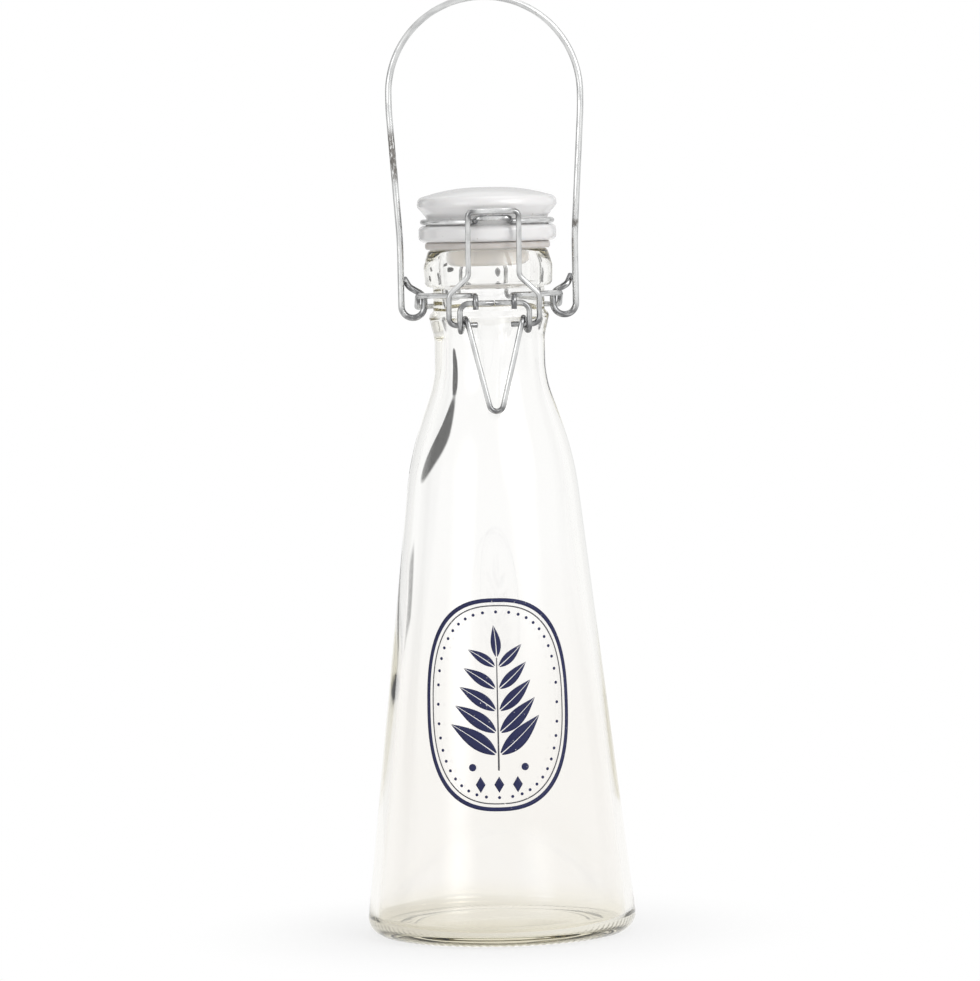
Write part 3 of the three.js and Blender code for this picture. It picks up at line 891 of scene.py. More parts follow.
@dataclass
class GlassBottle:
    """Conical glass bottle with a knurled bearing ring, a bead, a wire groove and a rounded finish."""

    base_radius: float = 44.5
    bearing_width: float = 11.0
    bearing_rounding: float = 1.0
    push_up: float = 1.4
    push_up_ramp: float = 6.0
    push_up_rounding: float = 12.0
    heel_rounding: float = 5.5
    floor_thickness: float = 2.4
    floor_crown: float = 0.6
    floor_corner_rounding: float = 3.0
    wall: float = 3.0
    body_height: float = 156.2
    shoulder_radius: float = 26.9
    shoulder_rounding: float = 100.0
    shoulder_height: float = 25.5
    neck_rounding: float = 36.0
    neck_height: float = 13.3
    bead_swell: float = 1.7
    bead_height: float = 8.9
    bead_foot_rounding: float = 8.0
    bead_top_slope: float = 1.7
    bead_top_rounding: float = 1.2
    bead_step: float = 1.4
    groove_depth: float = 1.5
    groove_height: float = 7.5
    groove_rounding: float = 0.6
    finish_radius: float = 21.1
    finish_height: float = 12.3
    finish_foot_draft: float = 0.3
    finish_foot_rise: float = 0.6
    finish_foot_rounding: float = 1.6
    finish_belly_height: float = 6.8
    finish_belly_rounding: float = 9.0
    rim_setback: float = 1.7
    rim_rounding: float = 1.3
    rim_width: float = 3.0
    mouth_rounding: float = 0.8
    mouth_depth: float = 6.2
    throat_rounding: float = 6.0
    throat_foot_rounding: float = 12.0
    knurls: int = 96
    steps_per_knurl: int = 4
    knurl_depth: float = 0.22
    knurl_outer_inset: float = 3.6
    knurl_fade: float = 1.4
    wall_waviness: float = 0.22
    waves: tuple[Wave, ...] = (Wave(1.0, 3, 23.0), Wave(0.6, 5, -17.0, 1.0))
    waves_from: float = 12.0
    waves_floor_fade: float = 25.0
    waves_rim_gap: float = 2.0
    waves_rim_fade: float = 5.0
    sampling: Sampling = Sampling(longest_run=5.0)

    @property
    def slope(self) -> float:
        """Radius that the cone loses per millimetre of height."""
        return (self.base_radius - self.shoulder_radius) / self.body_height

    @property
    def bead_radius(self) -> float:
        """Radius of the bead under the wire groove."""
        return self.finish_radius - self.bead_step

    @property
    def neck_radius(self) -> float:
        """Radius of the neck under the bead."""
        return self.bead_radius - self.bead_swell

    @property
    def groove_radius(self) -> float:
        """Radius of the wire groove."""
        return self.bead_radius - self.groove_depth

    @property
    def rim_radius(self) -> float:
        """Outer radius of the rim."""
        return self.finish_radius - self.rim_setback

    @property
    def mouth_radius(self) -> float:
        """Radius of the mouth."""
        return self.rim_radius - self.rim_width

    @property
    def bearing_radius(self) -> float:
        """Inner radius of the ring that the bottle stands on."""
        return self.base_radius - self.bearing_width

    @property
    def z_neck(self) -> float:
        """Level where the shoulder becomes the neck."""
        return self.body_height + self.shoulder_height

    @property
    def z_bead(self) -> float:
        """Level where the bead starts."""
        return self.z_neck + self.neck_height

    @property
    def z_groove(self) -> float:
        """Level of the foot of the wire groove."""
        return self.z_bead + self.bead_height

    @property
    def z_finish(self) -> float:
        """Level of the foot of the finish."""
        return self.z_groove + self.groove_height

    @property
    def z_rim(self) -> float:
        """Level of the rim."""
        return self.z_finish + self.finish_height

    def inside_corner(self, before: Corner, at: Corner, after: Corner, rounding: float) -> Corner:
        """Corner between two straight walls, moved inwards by the wall thickness."""
        arriving = unit(np.array([before.z - at.z, at.x - before.x]))
        leaving = unit(np.array([at.z - after.z, after.x - at.x]))
        shift = (arriving + leaving) * self.wall / (1 + float(arriving @ leaving))
        return edge(at.x + shift[0], at.z + shift[1], rounding)

    def outline(self) -> list[Corner]:
        """Corners of the outline: up the outside, over the rim and down the inside."""
        heel = edge(self.base_radius, 0.0, self.heel_rounding)
        shoulder = edge(self.shoulder_radius, self.body_height, self.shoulder_rounding)
        neck = edge(self.neck_radius, self.z_neck, self.neck_rounding)
        neck_top = edge(self.neck_radius, self.z_bead, self.bead_foot_rounding)
        floor = self.push_up + self.floor_thickness
        floor_radius = self.base_radius - self.slope * floor - self.wall * math.hypot(1, self.slope)
        push_up_radius = self.bearing_radius - self.push_up_ramp
        foot_radius = self.finish_radius - self.finish_foot_draft
        return [
            edge(0.0, self.push_up),
            edge(push_up_radius, self.push_up, self.push_up_rounding),
            edge(self.bearing_radius, 0.0, self.bearing_rounding),
            heel,
            shoulder,
            neck,
            neck_top,
            edge(self.bead_radius, self.z_groove - self.bead_top_slope, self.bead_top_rounding),
            edge(self.groove_radius, self.z_groove, self.groove_rounding),
            edge(self.groove_radius, self.z_finish, self.groove_rounding),
            edge(foot_radius, self.z_finish + self.finish_foot_rise, self.finish_foot_rounding),
            edge(self.finish_radius, self.z_finish + self.finish_belly_height, self.finish_belly_rounding),
            edge(self.rim_radius, self.z_rim, self.rim_rounding),
            edge(self.mouth_radius, self.z_rim, self.mouth_rounding),
            edge(self.mouth_radius, self.z_rim - self.mouth_depth, self.throat_rounding),
            edge(self.neck_radius - self.wall, self.z_groove, self.throat_foot_rounding),
            self.inside_corner(shoulder, neck, neck_top, self.neck_rounding),
            self.inside_corner(heel, shoulder, neck, self.shoulder_rounding),
            edge(floor_radius, floor, self.floor_corner_rounding),
            edge(push_up_radius, floor, self.push_up_rounding),
            edge(0.0, floor + self.floor_crown),
        ]

    def relief(self, body: Array, angle: Array) -> tuple[Array, Array]:
        """Knurls on the bearing ring and a wavy inner wall.

        Between knurls the bearing ring rises by the knurl depth times a raised cosine of the angle, faded
        out at the ring's edges. Inside, the radius waves with the angle and the height, faded out towards
        the floor and the mouth.

        Args:
            body: radius and height of each grid point, 2 by n by m.
            angle: angles round the axis, 1 by m.

        Returns:
            New radius and height.
        """
        radius, height = body
        inner_edge = self.bearing_radius + self.knurl_fade
        outer_edge = self.base_radius - self.knurl_outer_inset
        window = np.clip((radius - inner_edge) / self.knurl_fade + 1, 0, 1)
        window = window * np.clip((outer_edge - radius) / self.knurl_fade + 1, 0, 1)
        window = window * (height < self.floor_thickness / 2)
        dips = self.knurl_depth * (1 - np.cos(self.knurls * angle)) / 2
        inside = np.arange(len(radius))[:, None] > np.argmax(height[:, 0])
        fade = np.clip((height - self.waves_from) / self.waves_floor_fade, 0, 1)
        fade = fade * np.clip((self.z_rim - self.waves_rim_gap - height) / self.waves_rim_fade, 0, 1)
        waves = sum(wave.at(angle, height) for wave in self.waves)
        radius = radius + inside * fade * self.wall_waviness * waves
        return radius, height + window * dips

    def build(self) -> bpy.types.Object:
        """Makes the bottle."""
        outline, _ = bent_path(self.outline(), self.sampling)
        surface = turned(outline, self.knurls * self.steps_per_knurl, self.relief)
        piece = surface.to_object("bottle_glass")
        return dress(piece, GlassFinish().material(), Body.BOTTLE, "glass_bottle")


@dataclass
class FrontPrint:
    """Screen print on the front of the cone: a leafy sprig with berries in an oval double line.

    Plane coordinates run along the girth, to the right, and up from the middle of the print.
    """

    glass: GlassBottle
    middle_height: float = 78.0
    turn_deg: float = -94.5
    lift: float = 0.01
    ink_thickness: float = 0.05
    frame_half_width: float = 24.5
    frame_half_height: float = 34.0
    frame_line: float = 1.3
    hairline: float = 0.4
    hairline_inset: float = 2.2
    frame_squareness: float = 2.5
    frame_steps: int = 160
    stem_low: float = -21.0
    stem_high: float = 15.0
    stem_half_width: float = 0.3
    stem_taper: float = 0.55
    stem_steps: int = 24
    leaf_pairs: int = 5
    leaf_lean_deg: float = 38.0
    leaf_gap: float = 0.5
    lowest_leaf_rise: float = 5.0
    highest_leaf_drop: float = 3.0
    longest_leaf: float = 18.0
    shortest_leaf: float = 10.5
    leaf_slimness: float = 0.155
    leaf_fullness: float = 0.8
    leaf_curve: float = 0.09
    leaf_span: Span = (0.03, 0.99)
    leaf_steps: int = 22
    leaf_rows: tuple[float, ...] = (0.0, 0.34, 0.67, 1.0)
    leaf_least: float = 0.02
    midrib: float = 0.32
    midrib_taper: float = 0.6
    midrib_most: float = 0.7
    berry_radius: float = 1.2
    berry_spread: float = 8.5
    berry_rise: float = 1.0
    disc_steps: int = 9
    bead_radius: float = 0.5
    bead_inset: float = 4.4
    bead_count: int = 44
    diamond_half_width: float = 1.6
    diamond_half_height: float = 2.6
    diamond_spacing: float = 6.0
    diamond_drop: float = 4.5
    diamond_steps: int = 5
    hairline_ink: InkFinish = InkFinish(
        "grey_ink", (0.05, 0.05, 0.06), (0.12, 0.12, 0.13), Pattern(900.0, 4.0, 0.60, 0.68, 0.7))

    def wrapped(self, plane: Array, lift: float) -> Array:
        """Lays plane points on the cone: turn + x / r(z) is the angle and z the height, then lifts them.

        Args:
            plane: points, any shape by 2.
            lift: distance outwards from the glass.

        Returns:
            Points in the part's frame, the same shape by 3.
        """
        height = self.middle_height + plane[..., 1]
        radius = self.glass.base_radius - self.glass.slope * height
        angle = math.radians(self.turn_deg) + plane[..., 0] / radius
        tilt = math.atan(self.glass.slope)
        out = radius + lift * math.cos(tilt)
        up = height + lift * math.sin(tilt)
        return np.stack([out * np.cos(angle), out * np.sin(angle), up], axis=-1)

    def film(self, plane: Array, closed: bool = False) -> Surface:
        """Thin closed film of ink over a grid of plane points.

        The grid is stored twice, lifted by the film's two faces, and the rows round its edge join them.

        Args:
            plane: rows by columns by 2, whose rows and columns turn anticlockwise.
            closed: the columns join up into a ring.

        Returns:
            The film.
        """
        rows, columns = plane.shape[:2]
        count = rows * columns
        bottom = self.wrapped(plane, self.lift).reshape(-1, 3)
        top = self.wrapped(plane, self.lift + self.ink_thickness).reshape(-1, 3)
        faces = grid_quads(rows, columns, wrap_columns=closed)
        index = np.arange(count).reshape(rows, columns)
        if closed:
            loops = [index[0], index[-1][::-1]]
        else:
            loops = [np.concatenate([index[0], index[1:, -1], index[-1, -2::-1], index[-2:0:-1, 0]])]
        sides = [np.stack([a, np.roll(a, -1), np.roll(a, -1) + count, a + count], axis=-1) for a in loops]
        quads = np.concatenate([faces[:, ::-1], faces + count, *sides])
        return Surface(np.concatenate([bottom, top]), quads)

    def superellipse(self, t: Array, inset: float) -> Array:
        """Plane points x = a cos(t)^(2/n), y = b sin(t)^(2/n), with a and b less the inset."""
        power = 2 / self.frame_squareness
        x = (self.frame_half_width - inset) * np.sign(np.cos(t)) * np.abs(np.cos(t)) ** power
        y = (self.frame_half_height - inset) * np.sign(np.sin(t)) * np.abs(np.sin(t)) ** power
        return np.stack([x, y], axis=-1)

    def oval(self, inset: float, line: float) -> Surface:
        """Line of a width round the superellipse at an inset."""
        t = np.linspace(0.0, 2 * math.pi, self.frame_steps, endpoint=False)
        edges = [self.superellipse(t, inset), self.superellipse(t, inset + line)]
        return self.film(np.stack(edges), closed=True)

    def leaf(self, foot: Array, lean: float, length: float, side: int) -> Surface:
        """Half of a leaf beside its bare midrib.

        Along the leaf, s from 0 to 1, the half-width is slimness * length * sin(pi s^fullness), and the
        leaf bends to its left by curve * length * s^2.

        Args:
            foot: plane point where the leaf starts.
            lean: angle of the leaf above the horizontal to the right.
            length: length of the leaf.
            side: +1 for the left half, -1 for the right half, seen along the leaf.

        Returns:
            The film of that half.
        """
        s = np.linspace(*self.leaf_span, self.leaf_steps)[None, :]
        across = np.array(self.leaf_rows)[:, None]
        half_width = self.leaf_slimness * length * np.sin(math.pi * s ** self.leaf_fullness)
        rib = np.minimum(self.midrib / 2 * (1 - self.midrib_taper * s), half_width * self.midrib_most)
        along = np.repeat(s * length, len(across), axis=0)
        spread = rib + across * np.maximum(half_width - rib, self.leaf_least)
        aside = side * spread + self.leaf_curve * length * s ** 2
        x = foot[0] + along * math.cos(lean) - aside * math.sin(lean)
        y = foot[1] + along * math.sin(lean) + aside * math.cos(lean)
        plane = np.stack([x, y], axis=-1)
        return self.film(plane if side > 0 else plane[::-1])

    def disc(self, middle: tuple[float, float], radius: float) -> Surface:
        """Round dot: a square (u, v) pressed into a disc as u sqrt(1 - v^2 / 2), v sqrt(1 - u^2 / 2)."""
        u, v = square_grid(self.disc_steps)
        x = middle[0] + radius * u * np.sqrt(1 - v ** 2 / 2)
        y = middle[1] + radius * v * np.sqrt(1 - u ** 2 / 2)
        return self.film(np.stack([x, y], axis=-1))

    def diamond(self, middle: tuple[float, float]) -> Surface:
        """Upright diamond: a square grid (u, v) turned to (u - v) / 2, (u + v) / 2 and stretched."""
        u, v = square_grid(self.diamond_steps)
        x = middle[0] + self.diamond_half_width * (u - v) / 2
        y = middle[1] + self.diamond_half_height * (u + v) / 2
        return self.film(np.stack([x, y], axis=-1))

    def stem(self) -> Surface:
        """Straight stem that tapers to its top."""
        y = np.linspace(self.stem_low, self.stem_high, self.stem_steps)[:, None]
        taper = np.linspace(1.0, self.stem_taper, self.stem_steps)[:, None]
        x = self.stem_half_width * taper * np.array([[-1.0, 1.0]])
        return self.film(np.stack([x, np.repeat(y, 2, axis=1)], axis=-1))

    def navy_parts(self) -> list[Surface]:
        """The thick frame line, leaves, diamonds, berries and the ring of beads."""
        parts = [self.oval(0.0, self.frame_line)]
        lowest = self.stem_low + self.lowest_leaf_rise
        levels = np.linspace(lowest, self.stem_high - self.highest_leaf_drop, self.leaf_pairs)
        lengths = np.linspace(self.longest_leaf, self.shortest_leaf, self.leaf_pairs)
        lean = math.radians(self.leaf_lean_deg)
        for level, length in zip(levels, lengths):
            foot = np.array([self.leaf_gap, level])
            for side in (1, -1):
                parts.append(self.leaf(foot, lean, length, side))
                parts.append(self.leaf(foot * [-1, 1], math.pi - lean, length, side))
        top = np.array([0.0, self.stem_high])
        parts += [self.leaf(top, math.pi / 2, self.shortest_leaf, side) for side in (1, -1)]
        low = self.stem_low - self.diamond_drop
        parts += [self.diamond((k * self.diamond_spacing, low)) for k in (-1, 0, 1)]
        berry_level = self.stem_low + self.berry_rise
        parts += [self.disc((k * self.berry_spread, berry_level), self.berry_radius) for k in (-1, 1)]
        t = np.arange(self.bead_count) * 2 * math.pi / self.bead_count
        parts += [self.disc((x, y), self.bead_radius) for x, y in self.superellipse(t, self.bead_inset)]
        return parts

    def build(self) -> list[bpy.types.Object]:
        """Makes the navy part and the grey hairlines of the print."""
        navy = Surface.joined(self.navy_parts()).to_object("print_navy")
        hairlines = Surface.joined([self.oval(self.hairline_inset, self.hairline), self.stem()])
        grey = hairlines.to_object("print_hairlines")
        return [
            dress(navy, InkFinish().material(), Body.BOTTLE),
            dress(grey, self.hairline_ink.material(), Body.BOTTLE),
        ]


@dataclass
class LidWithGasket:
    """Porcelain lid with a wire groove, a flange and a plug, and the gasket under its flange."""

    glass: GlassBottle
    seat_gap: float = 0.15
    plug_gap: float = 0.3
    flange_overhang: float = 1.4
    flange_height: float = 5.3
    flange_rounding: float = 1.7
    lid_overhang: float = 0.4
    dome_height: float = 3.3
    dome_rounding: float = 60.0
    rim_height: float = 2.6
    rim_draft: float = 0.3
    rim_rounding: float = 1.4
    crown_rounding: float = 2.2
    taper_height: float = 3.8
    taper_rounding: float = 1.2
    groove_depth: float = 2.7
    groove_height: float = 2.6
    groove_rounding: float = 0.5
    plug_clearance: float = 2.5
    plug_depth: float = 6.0
    plug_rounding: float = 1.2
    plug_root_rounding: float = 0.3
    gasket_overhang: float = 1.0
    gasket_thickness: float = 2.3
    gasket_outer_rounding: float = 0.8
    gasket_inner_rounding: float = 0.4
    segments: int = 192
    sampling: Sampling = Sampling(longest_run=3.0)

    @property
    def z_gasket(self) -> float:
        """Level of the underside of the gasket."""
        return self.glass.z_rim + self.seat_gap

    @property
    def z_flange(self) -> float:
        """Level of the underside of the flange."""
        return self.z_gasket + self.gasket_thickness + self.seat_gap

    @property
    def z_flange_top(self) -> float:
        """Level of the top of the flange."""
        return self.z_flange + self.flange_height

    @property
    def flange_radius(self) -> float:
        """Radius of the flange."""
        return self.glass.finish_radius + self.flange_overhang

    @property
    def lid_radius(self) -> float:
        """Radius of the lid's rim."""
        return self.flange_radius + self.lid_overhang

    @property
    def groove_radius(self) -> float:
        """Radius of the wire groove."""
        return self.flange_radius - self.groove_depth

    @property
    def plug_radius(self) -> float:
        """Radius of the plug in the mouth."""
        return self.glass.mouth_radius - self.plug_clearance

    def lid_outline(self) -> list[Corner]:
        """Corners of the lid's outline, from the plug's underside to the middle of the dome."""
        z_plug = self.glass.z_rim - self.plug_depth
        z_taper = self.z_flange_top + self.groove_height
        z_rim = z_taper + self.taper_height
        z_crown = z_rim + self.rim_height
        z_top = z_crown + self.dome_height
        return [
            edge(0.0, z_plug),
            edge(self.plug_radius, z_plug, self.plug_rounding),
            edge(self.plug_radius, self.z_flange, self.plug_root_rounding),
            edge(self.flange_radius, self.z_flange, self.flange_rounding),
            edge(self.flange_radius, self.z_flange_top, self.flange_rounding),
            edge(self.groove_radius, self.z_flange_top, self.groove_rounding),
            edge(self.groove_radius, z_taper, self.taper_rounding),
            edge(self.lid_radius, z_rim, self.rim_rounding),
            edge(self.lid_radius - self.rim_draft, z_crown, self.crown_rounding),
            edge(self.lid_radius / 2, z_top, self.dome_rounding),
            edge(0.0, z_top),
        ]

    def gasket_outline(self) -> list[Corner]:
        """Corners of the gasket's outline, which closes on itself."""
        inner = self.plug_radius + self.plug_gap
        outer = self.glass.rim_radius + self.gasket_overhang
        top = self.z_gasket + self.gasket_thickness
        middle = (self.z_gasket + top) / 2
        return [
            edge(inner, middle),
            edge(inner, self.z_gasket, self.gasket_inner_rounding),
            edge(outer, self.z_gasket, self.gasket_outer_rounding),
            edge(outer, top, self.gasket_outer_rounding),
            edge(inner, top, self.gasket_inner_rounding),
            edge(inner, middle),
        ]

    def build(self) -> list[bpy.types.Object]:
        """Makes the lid and the gasket."""
        pieces = [
            ("porcelain_lid", self.lid_outline(), PorcelainFinish(), "lid", Slot.PORCELAIN),
            ("silicone_gasket", self.gasket_outline(), SiliconeFinish(), "gasket", Slot.SILICONE),
        ]
        made = []
        for name, corners, finish, node, slot in pieces:
            outline, _ = bent_path(corners, self.sampling)
            piece = turned(outline, self.segments).to_object(name)
            made.append(dress(piece, finish.material(), Body.LID, node))
        return made


@dataclass
class Closure:
    """Bent-wire bail closure: neck wire, lid wire, lever and latch."""

    glass: GlassBottle
    lid: LidWithGasket
    wire: float = 1.8
    bend: float = 2.0
    tight_bend: float = 1.6
    ring_runout: float = 2.2
    headroom: float = 1.5
    ear_drop: float = 3.8
    ear_spread: float = 5.0
    ear_x: float = 23.3
    hook_half_spacing: float = 6.2
    hook_tail: float = 4.4
    hinge_rise: float = 11.2
    hinge_half_spacing: float = 5.0
    hinge_bar_overhang: float = 3.3
    lid_leg_bend: float = 2.4
    bridge_half_width: float = 5.5
    bridge_rise: float = 1.2
    bridge_reach: float = 2.5
    lever_half_width: float = 11.2
    lever_arch_bend: float = 3.0
    lever_length: float = 34.9
    lever_tip_bend: float = 2.3
    lever_to_latch: float = 7.0
    latch_standoff: float = 1.2
    latch_foot_overhang: float = 3.4
    latch_top_overhang: float = 2.7
    latch_foot_rise: float = 9.6
    latch_flare_rise: float = 6.0
    latch_flare_bend: float = 3.0
    latch_pin_length: float = 9.2
    latch_pin_bend: float = 2.4
    latch_bar_bend: float = 1.8
    latch_bar_lead: float = 0.4
    latch_bar_gap: float = 0.35
    wire_gap: float = 0.3
    pivot_gap: float = 0.3
    sides: int = 20
    # Darkening of the cut ends: partly bare metal, partly painted shade.
    cut_end_wear_and_shade: float = 0.5

    @property
    def z_neck_wire(self) -> float:
        """Level of the neck wire's front."""
        return self.glass.z_finish - self.headroom - self.wire / 2

    @property
    def eye_radius(self) -> float:
        """Centreline radius of an eye round another wire."""
        return self.wire + self.pivot_gap

    @property
    def hinge_back(self) -> float:
        """Distance of the hinge bar behind the axis."""
        return self.glass.finish_radius + self.wire_gap + self.wire / 2 + self.eye_radius

    @property
    def z_hinge(self) -> float:
        """Level of the hinge bar."""
        return self.z_neck_wire - self.ear_drop + self.hinge_rise

    @property
    def latch_front(self) -> float:
        """Distance of the latch pins in front of the axis."""
        return self.glass.bead_radius + self.latch_standoff

    @property
    def lever_front(self) -> float:
        """Distance of the lever's pivot bar in front of the axis."""
        return self.latch_front + self.eye_radius

    @property
    def z_lever(self) -> float:
        """Level of the lever's pivot bar."""
        return self.z_neck_wire - self.eye_radius - self.wire_gap

    @property
    def z_latch(self) -> float:
        """Level of the latch pins."""
        return self.z_lever - self.lever_to_latch

    @property
    def z_lid_wire(self) -> float:
        """Level of the lid wire's ring."""
        return self.lid.z_flange_top + self.wire_gap + self.wire / 2

    def ring_corner(self, radius: float, z: float, start: float, end: float) -> Corner:
        """Corner whose bend follows a ring about the axis, on the left, between angles from the front."""
        middle = (start + end) / 2
        reach = radius / math.cos((end - start) / 2)
        return wire_corner(-reach * math.sin(middle), reach * math.cos(middle), z, radius)

    def tangent_front(self, radius: float, angle: float, half_width: float) -> float:
        """Front of the point where the ring's tangent at an angle comes to a half-width."""
        return (radius - half_width * math.sin(angle)) / math.cos(angle)

    def neck_wire(self) -> list[Corner]:
        """Corners of the neck wire: hook, ring, ear and half of the hinge bar, then their mirror image."""
        ring = self.glass.groove_radius + self.wire_gap + self.wire / 2
        ear_front = self.ear_spread / 2
        start = math.asin((self.hook_half_spacing + self.ring_runout) / ring)
        end = math.atan2(self.ear_x, ear_front) - math.acos(ring / math.hypot(self.ear_x, ear_front))
        hook_x = -self.hook_half_spacing
        hook_front = self.lever_front + self.eye_radius
        hook_back = self.tangent_front(ring, start, self.hook_half_spacing)
        foot_x = -self.hinge_half_spacing - self.hinge_bar_overhang
        z_back = self.z_neck_wire - self.ear_drop
        return with_mirror([
            wire_corner(hook_x, hook_front, self.z_neck_wire - self.hook_tail),
            wire_corner(hook_x, hook_front, self.z_neck_wire, self.bend),
            wire_corner(hook_x, hook_back, self.z_neck_wire, self.tight_bend),
            self.ring_corner(ring, self.z_neck_wire, start, end),
            wire_corner(-self.ear_x, ear_front, self.z_neck_wire, self.tight_bend),
            wire_corner(-self.ear_x, -ear_front, z_back, self.tight_bend),
            wire_corner(foot_x, -self.hinge_back, z_back, self.bend),
            wire_corner(foot_x, -self.hinge_back, self.z_hinge, self.bend),
        ])

    def lid_wire(self) -> list[Corner]:
        """Corners of the lid wire: eye on the hinge bar, leg, ring, half of the bridge, then the mirror."""
        ring = self.lid.groove_radius + self.wire_gap + self.wire / 2
        x = -self.hinge_half_spacing
        eye_front = self.eye_radius - self.hinge_back
        leg_front = -self.eye_radius - self.hinge_back
        back = math.pi - math.asin((self.hinge_half_spacing + self.ring_runout) / ring)
        front = math.asin((self.bridge_half_width + self.ring_runout) / ring)
        middle = (back + front) / 2
        ring_back = self.tangent_front(ring, back, self.hinge_half_spacing)
        ring_front = self.tangent_front(ring, front, self.bridge_half_width)
        z_bridge = self.z_lid_wire + self.bridge_rise
        bridge_front = self.lid.flange_radius + self.bridge_reach
        eye = self.eye_radius
        return with_mirror([
            wire_corner(x, -self.hinge_back, self.z_hinge + eye),
            wire_corner(x, eye_front, self.z_hinge + eye, eye),
            wire_corner(x, eye_front, self.z_hinge - eye, eye),
            wire_corner(x, leg_front, self.z_hinge - eye, eye),
            wire_corner(x, leg_front, self.z_lid_wire, self.lid_leg_bend),
            wire_corner(x, ring_back, self.z_lid_wire, self.tight_bend),
            self.ring_corner(ring, self.z_lid_wire, middle, back),
            self.ring_corner(ring, self.z_lid_wire, front, middle),
            wire_corner(-self.bridge_half_width, ring_front, self.z_lid_wire, self.tight_bend),
            wire_corner(-self.bridge_half_width, bridge_front, z_bridge, self.bend),
        ])

    def lever(self) -> list[Corner]:
        """Corners of the lever: half of the pivot bar, arch and eye, the V, and the other half."""
        pitch = self.wire + self.wire_gap
        arch, leg = self.lever_half_width, self.lever_half_width - pitch
        shift = pitch / 3  # the eye moves aside by its pitch in three equal steps
        low, high = self.z_latch - self.eye_radius, self.z_latch + self.eye_radius
        front, back = self.lever_front, self.latch_front - self.eye_radius
        drop = high - (self.z_lever - self.lever_length + self.lever_tip_bend)
        angle = math.atan2(leg, drop) - math.asin(self.lever_tip_bend / math.hypot(leg, drop))
        half = [
            wire_corner(-self.wire_gap / 2, front, self.z_lever),
            wire_corner(-arch, front, self.z_lever, self.lever_arch_bend),
            wire_corner(-arch, front, low, self.eye_radius),
            wire_corner(-arch + shift, back, low, self.eye_radius),
            wire_corner(-leg - shift, back, high, self.eye_radius),
            wire_corner(-leg, front, high, self.eye_radius),
        ]
        tip = wire_corner(0.0, front, high - leg / math.tan(angle), self.lever_tip_bend)
        whole = with_mirror(half)
        whole.insert(len(half), tip)
        return whole

    def latch(self) -> list[Corner]:
        """Corners of the latch: pin, foot, flare and half of the bar, then their mirror image."""
        z_bar = self.z_lid_wire + self.bridge_rise + self.wire + self.latch_bar_gap
        bar_front = self.lid.flange_radius + self.bridge_reach + self.latch_bar_lead
        lean = (bar_front - self.latch_front) / (z_bar - self.z_latch)
        foot = -self.lever_half_width - self.latch_foot_overhang
        top = -self.bridge_half_width - self.latch_top_overhang
        flare = self.latch_foot_rise + self.latch_flare_rise
        rows = [
            (foot + self.latch_pin_length, 0.0, 0.0),
            (foot, 0.0, self.latch_pin_bend),
            (foot, self.latch_foot_rise, self.latch_flare_bend),
            (top, flare, self.latch_flare_bend),
            (top, z_bar - self.z_latch, self.latch_bar_bend),
        ]
        return with_mirror([
            wire_corner(x, self.latch_front + lean * rise, self.z_latch + rise, bend)
            for x, rise, bend in rows
        ])

    def build(self, material: bpy.types.Material) -> list[bpy.types.Object]:
        """Makes the four wires of the closure.

        Args:
            material: finish of the wires.

        Returns:
            The pieces.
        """
        wires = [
            ("wire_round_neck", self.neck_wire(), Body.BOTTLE, "neck_wire"),
            ("wire_round_lid", self.lid_wire(), Body.LID, "lid_wire"),
            ("wire_lever", self.lever(), Body.LEVER, "lever"),
            ("wire_latch", self.latch(), Body.LATCH, "latch"),
        ]
        return [
            dress(swept_wire(corners, self.wire, Sampling(), self.sides, self.cut_end_wear_and_shade).to_object(name),
                  material, body, node)
            for name, corners, body, node in wires
        ]


@dataclass
class Handle:
    """Arched carrying handle, bent from one wire, with an eye at each end."""

    glass: GlassBottle
    lid: LidWithGasket
    closure: Closure
    wire: float = 2.1
    height: float = 98.6
    shoulder_drop: float = 36.0
    shoulder_bend: float = 90.0
    lid_clearance: float = 8.4
    straight: float = 20.0
    flare_bend: float = 120.0
    eye: float = 7.5
    eye_drop: float = 1.5
    neck_drop: float = 0.3
    neck_bend: float = 3.0
    tail_foot: float = 2.5
    tail: float = 2.8
    tail_lean: float = 1.5
    tail_bend: float = 2.2
    sides: int = 22
    # Darkening of the tail ends: partly bare metal, partly painted shade where the tail lies against its
    # leg.
    tail_wear_and_shade: float = 0.45
    worn_spots: tuple[WornSpot, ...] = (
        WornSpot(-0.0303, 0.2545, 0.0105),
        WornSpot(0.0288, 0.2315, 0.0022),
    )

    def corners(self) -> list[Corner]:
        """Corners of the handle: tail, eye, leg and half of the arch, then their mirror image."""
        gap = self.closure.wire_gap
        pivot = self.closure.z_neck_wire - self.closure.ear_drop / 2
        inner = self.glass.bead_radius + gap + self.wire / 2
        leg = inner + self.eye
        grip = self.lid.lid_radius + self.lid_clearance
        standoff = self.wire + 2 * gap
        tail_x = leg - standoff
        low = pivot - self.eye_drop - self.eye / 2
        high = low + self.eye
        foot = high + self.tail_foot
        top = pivot + self.height
        return with_mirror([
            wire_corner(-tail_x - self.tail_lean, -standoff, foot + self.tail),
            wire_corner(-tail_x, 0.0, foot, self.tail_bend),
            wire_corner(-inner, 0.0, high - self.neck_drop, self.neck_bend),
            wire_corner(-inner, 0.0, low, self.eye / 2),
            wire_corner(-leg, 0.0, low, self.eye / 2),
            wire_corner(-leg, 0.0, pivot + self.straight, self.flare_bend),
            wire_corner(-grip, 0.0, top - self.shoulder_drop, self.shoulder_bend),
            wire_corner(-grip, 0.0, top, grip),
        ])

    def build(self) -> bpy.types.Object:
        """Makes the handle, with its plating worn off at two spots."""
        surface = swept_wire(self.corners(), self.wire, Sampling(), self.sides, self.tail_wear_and_shade)
        piece = surface.to_object("wire_handle")
        finish = WireFinish("worn_zinc_plated_wire", worn_spots=self.worn_spots)
        return dress(piece, finish.material(), Body.HANDLE, "handle")


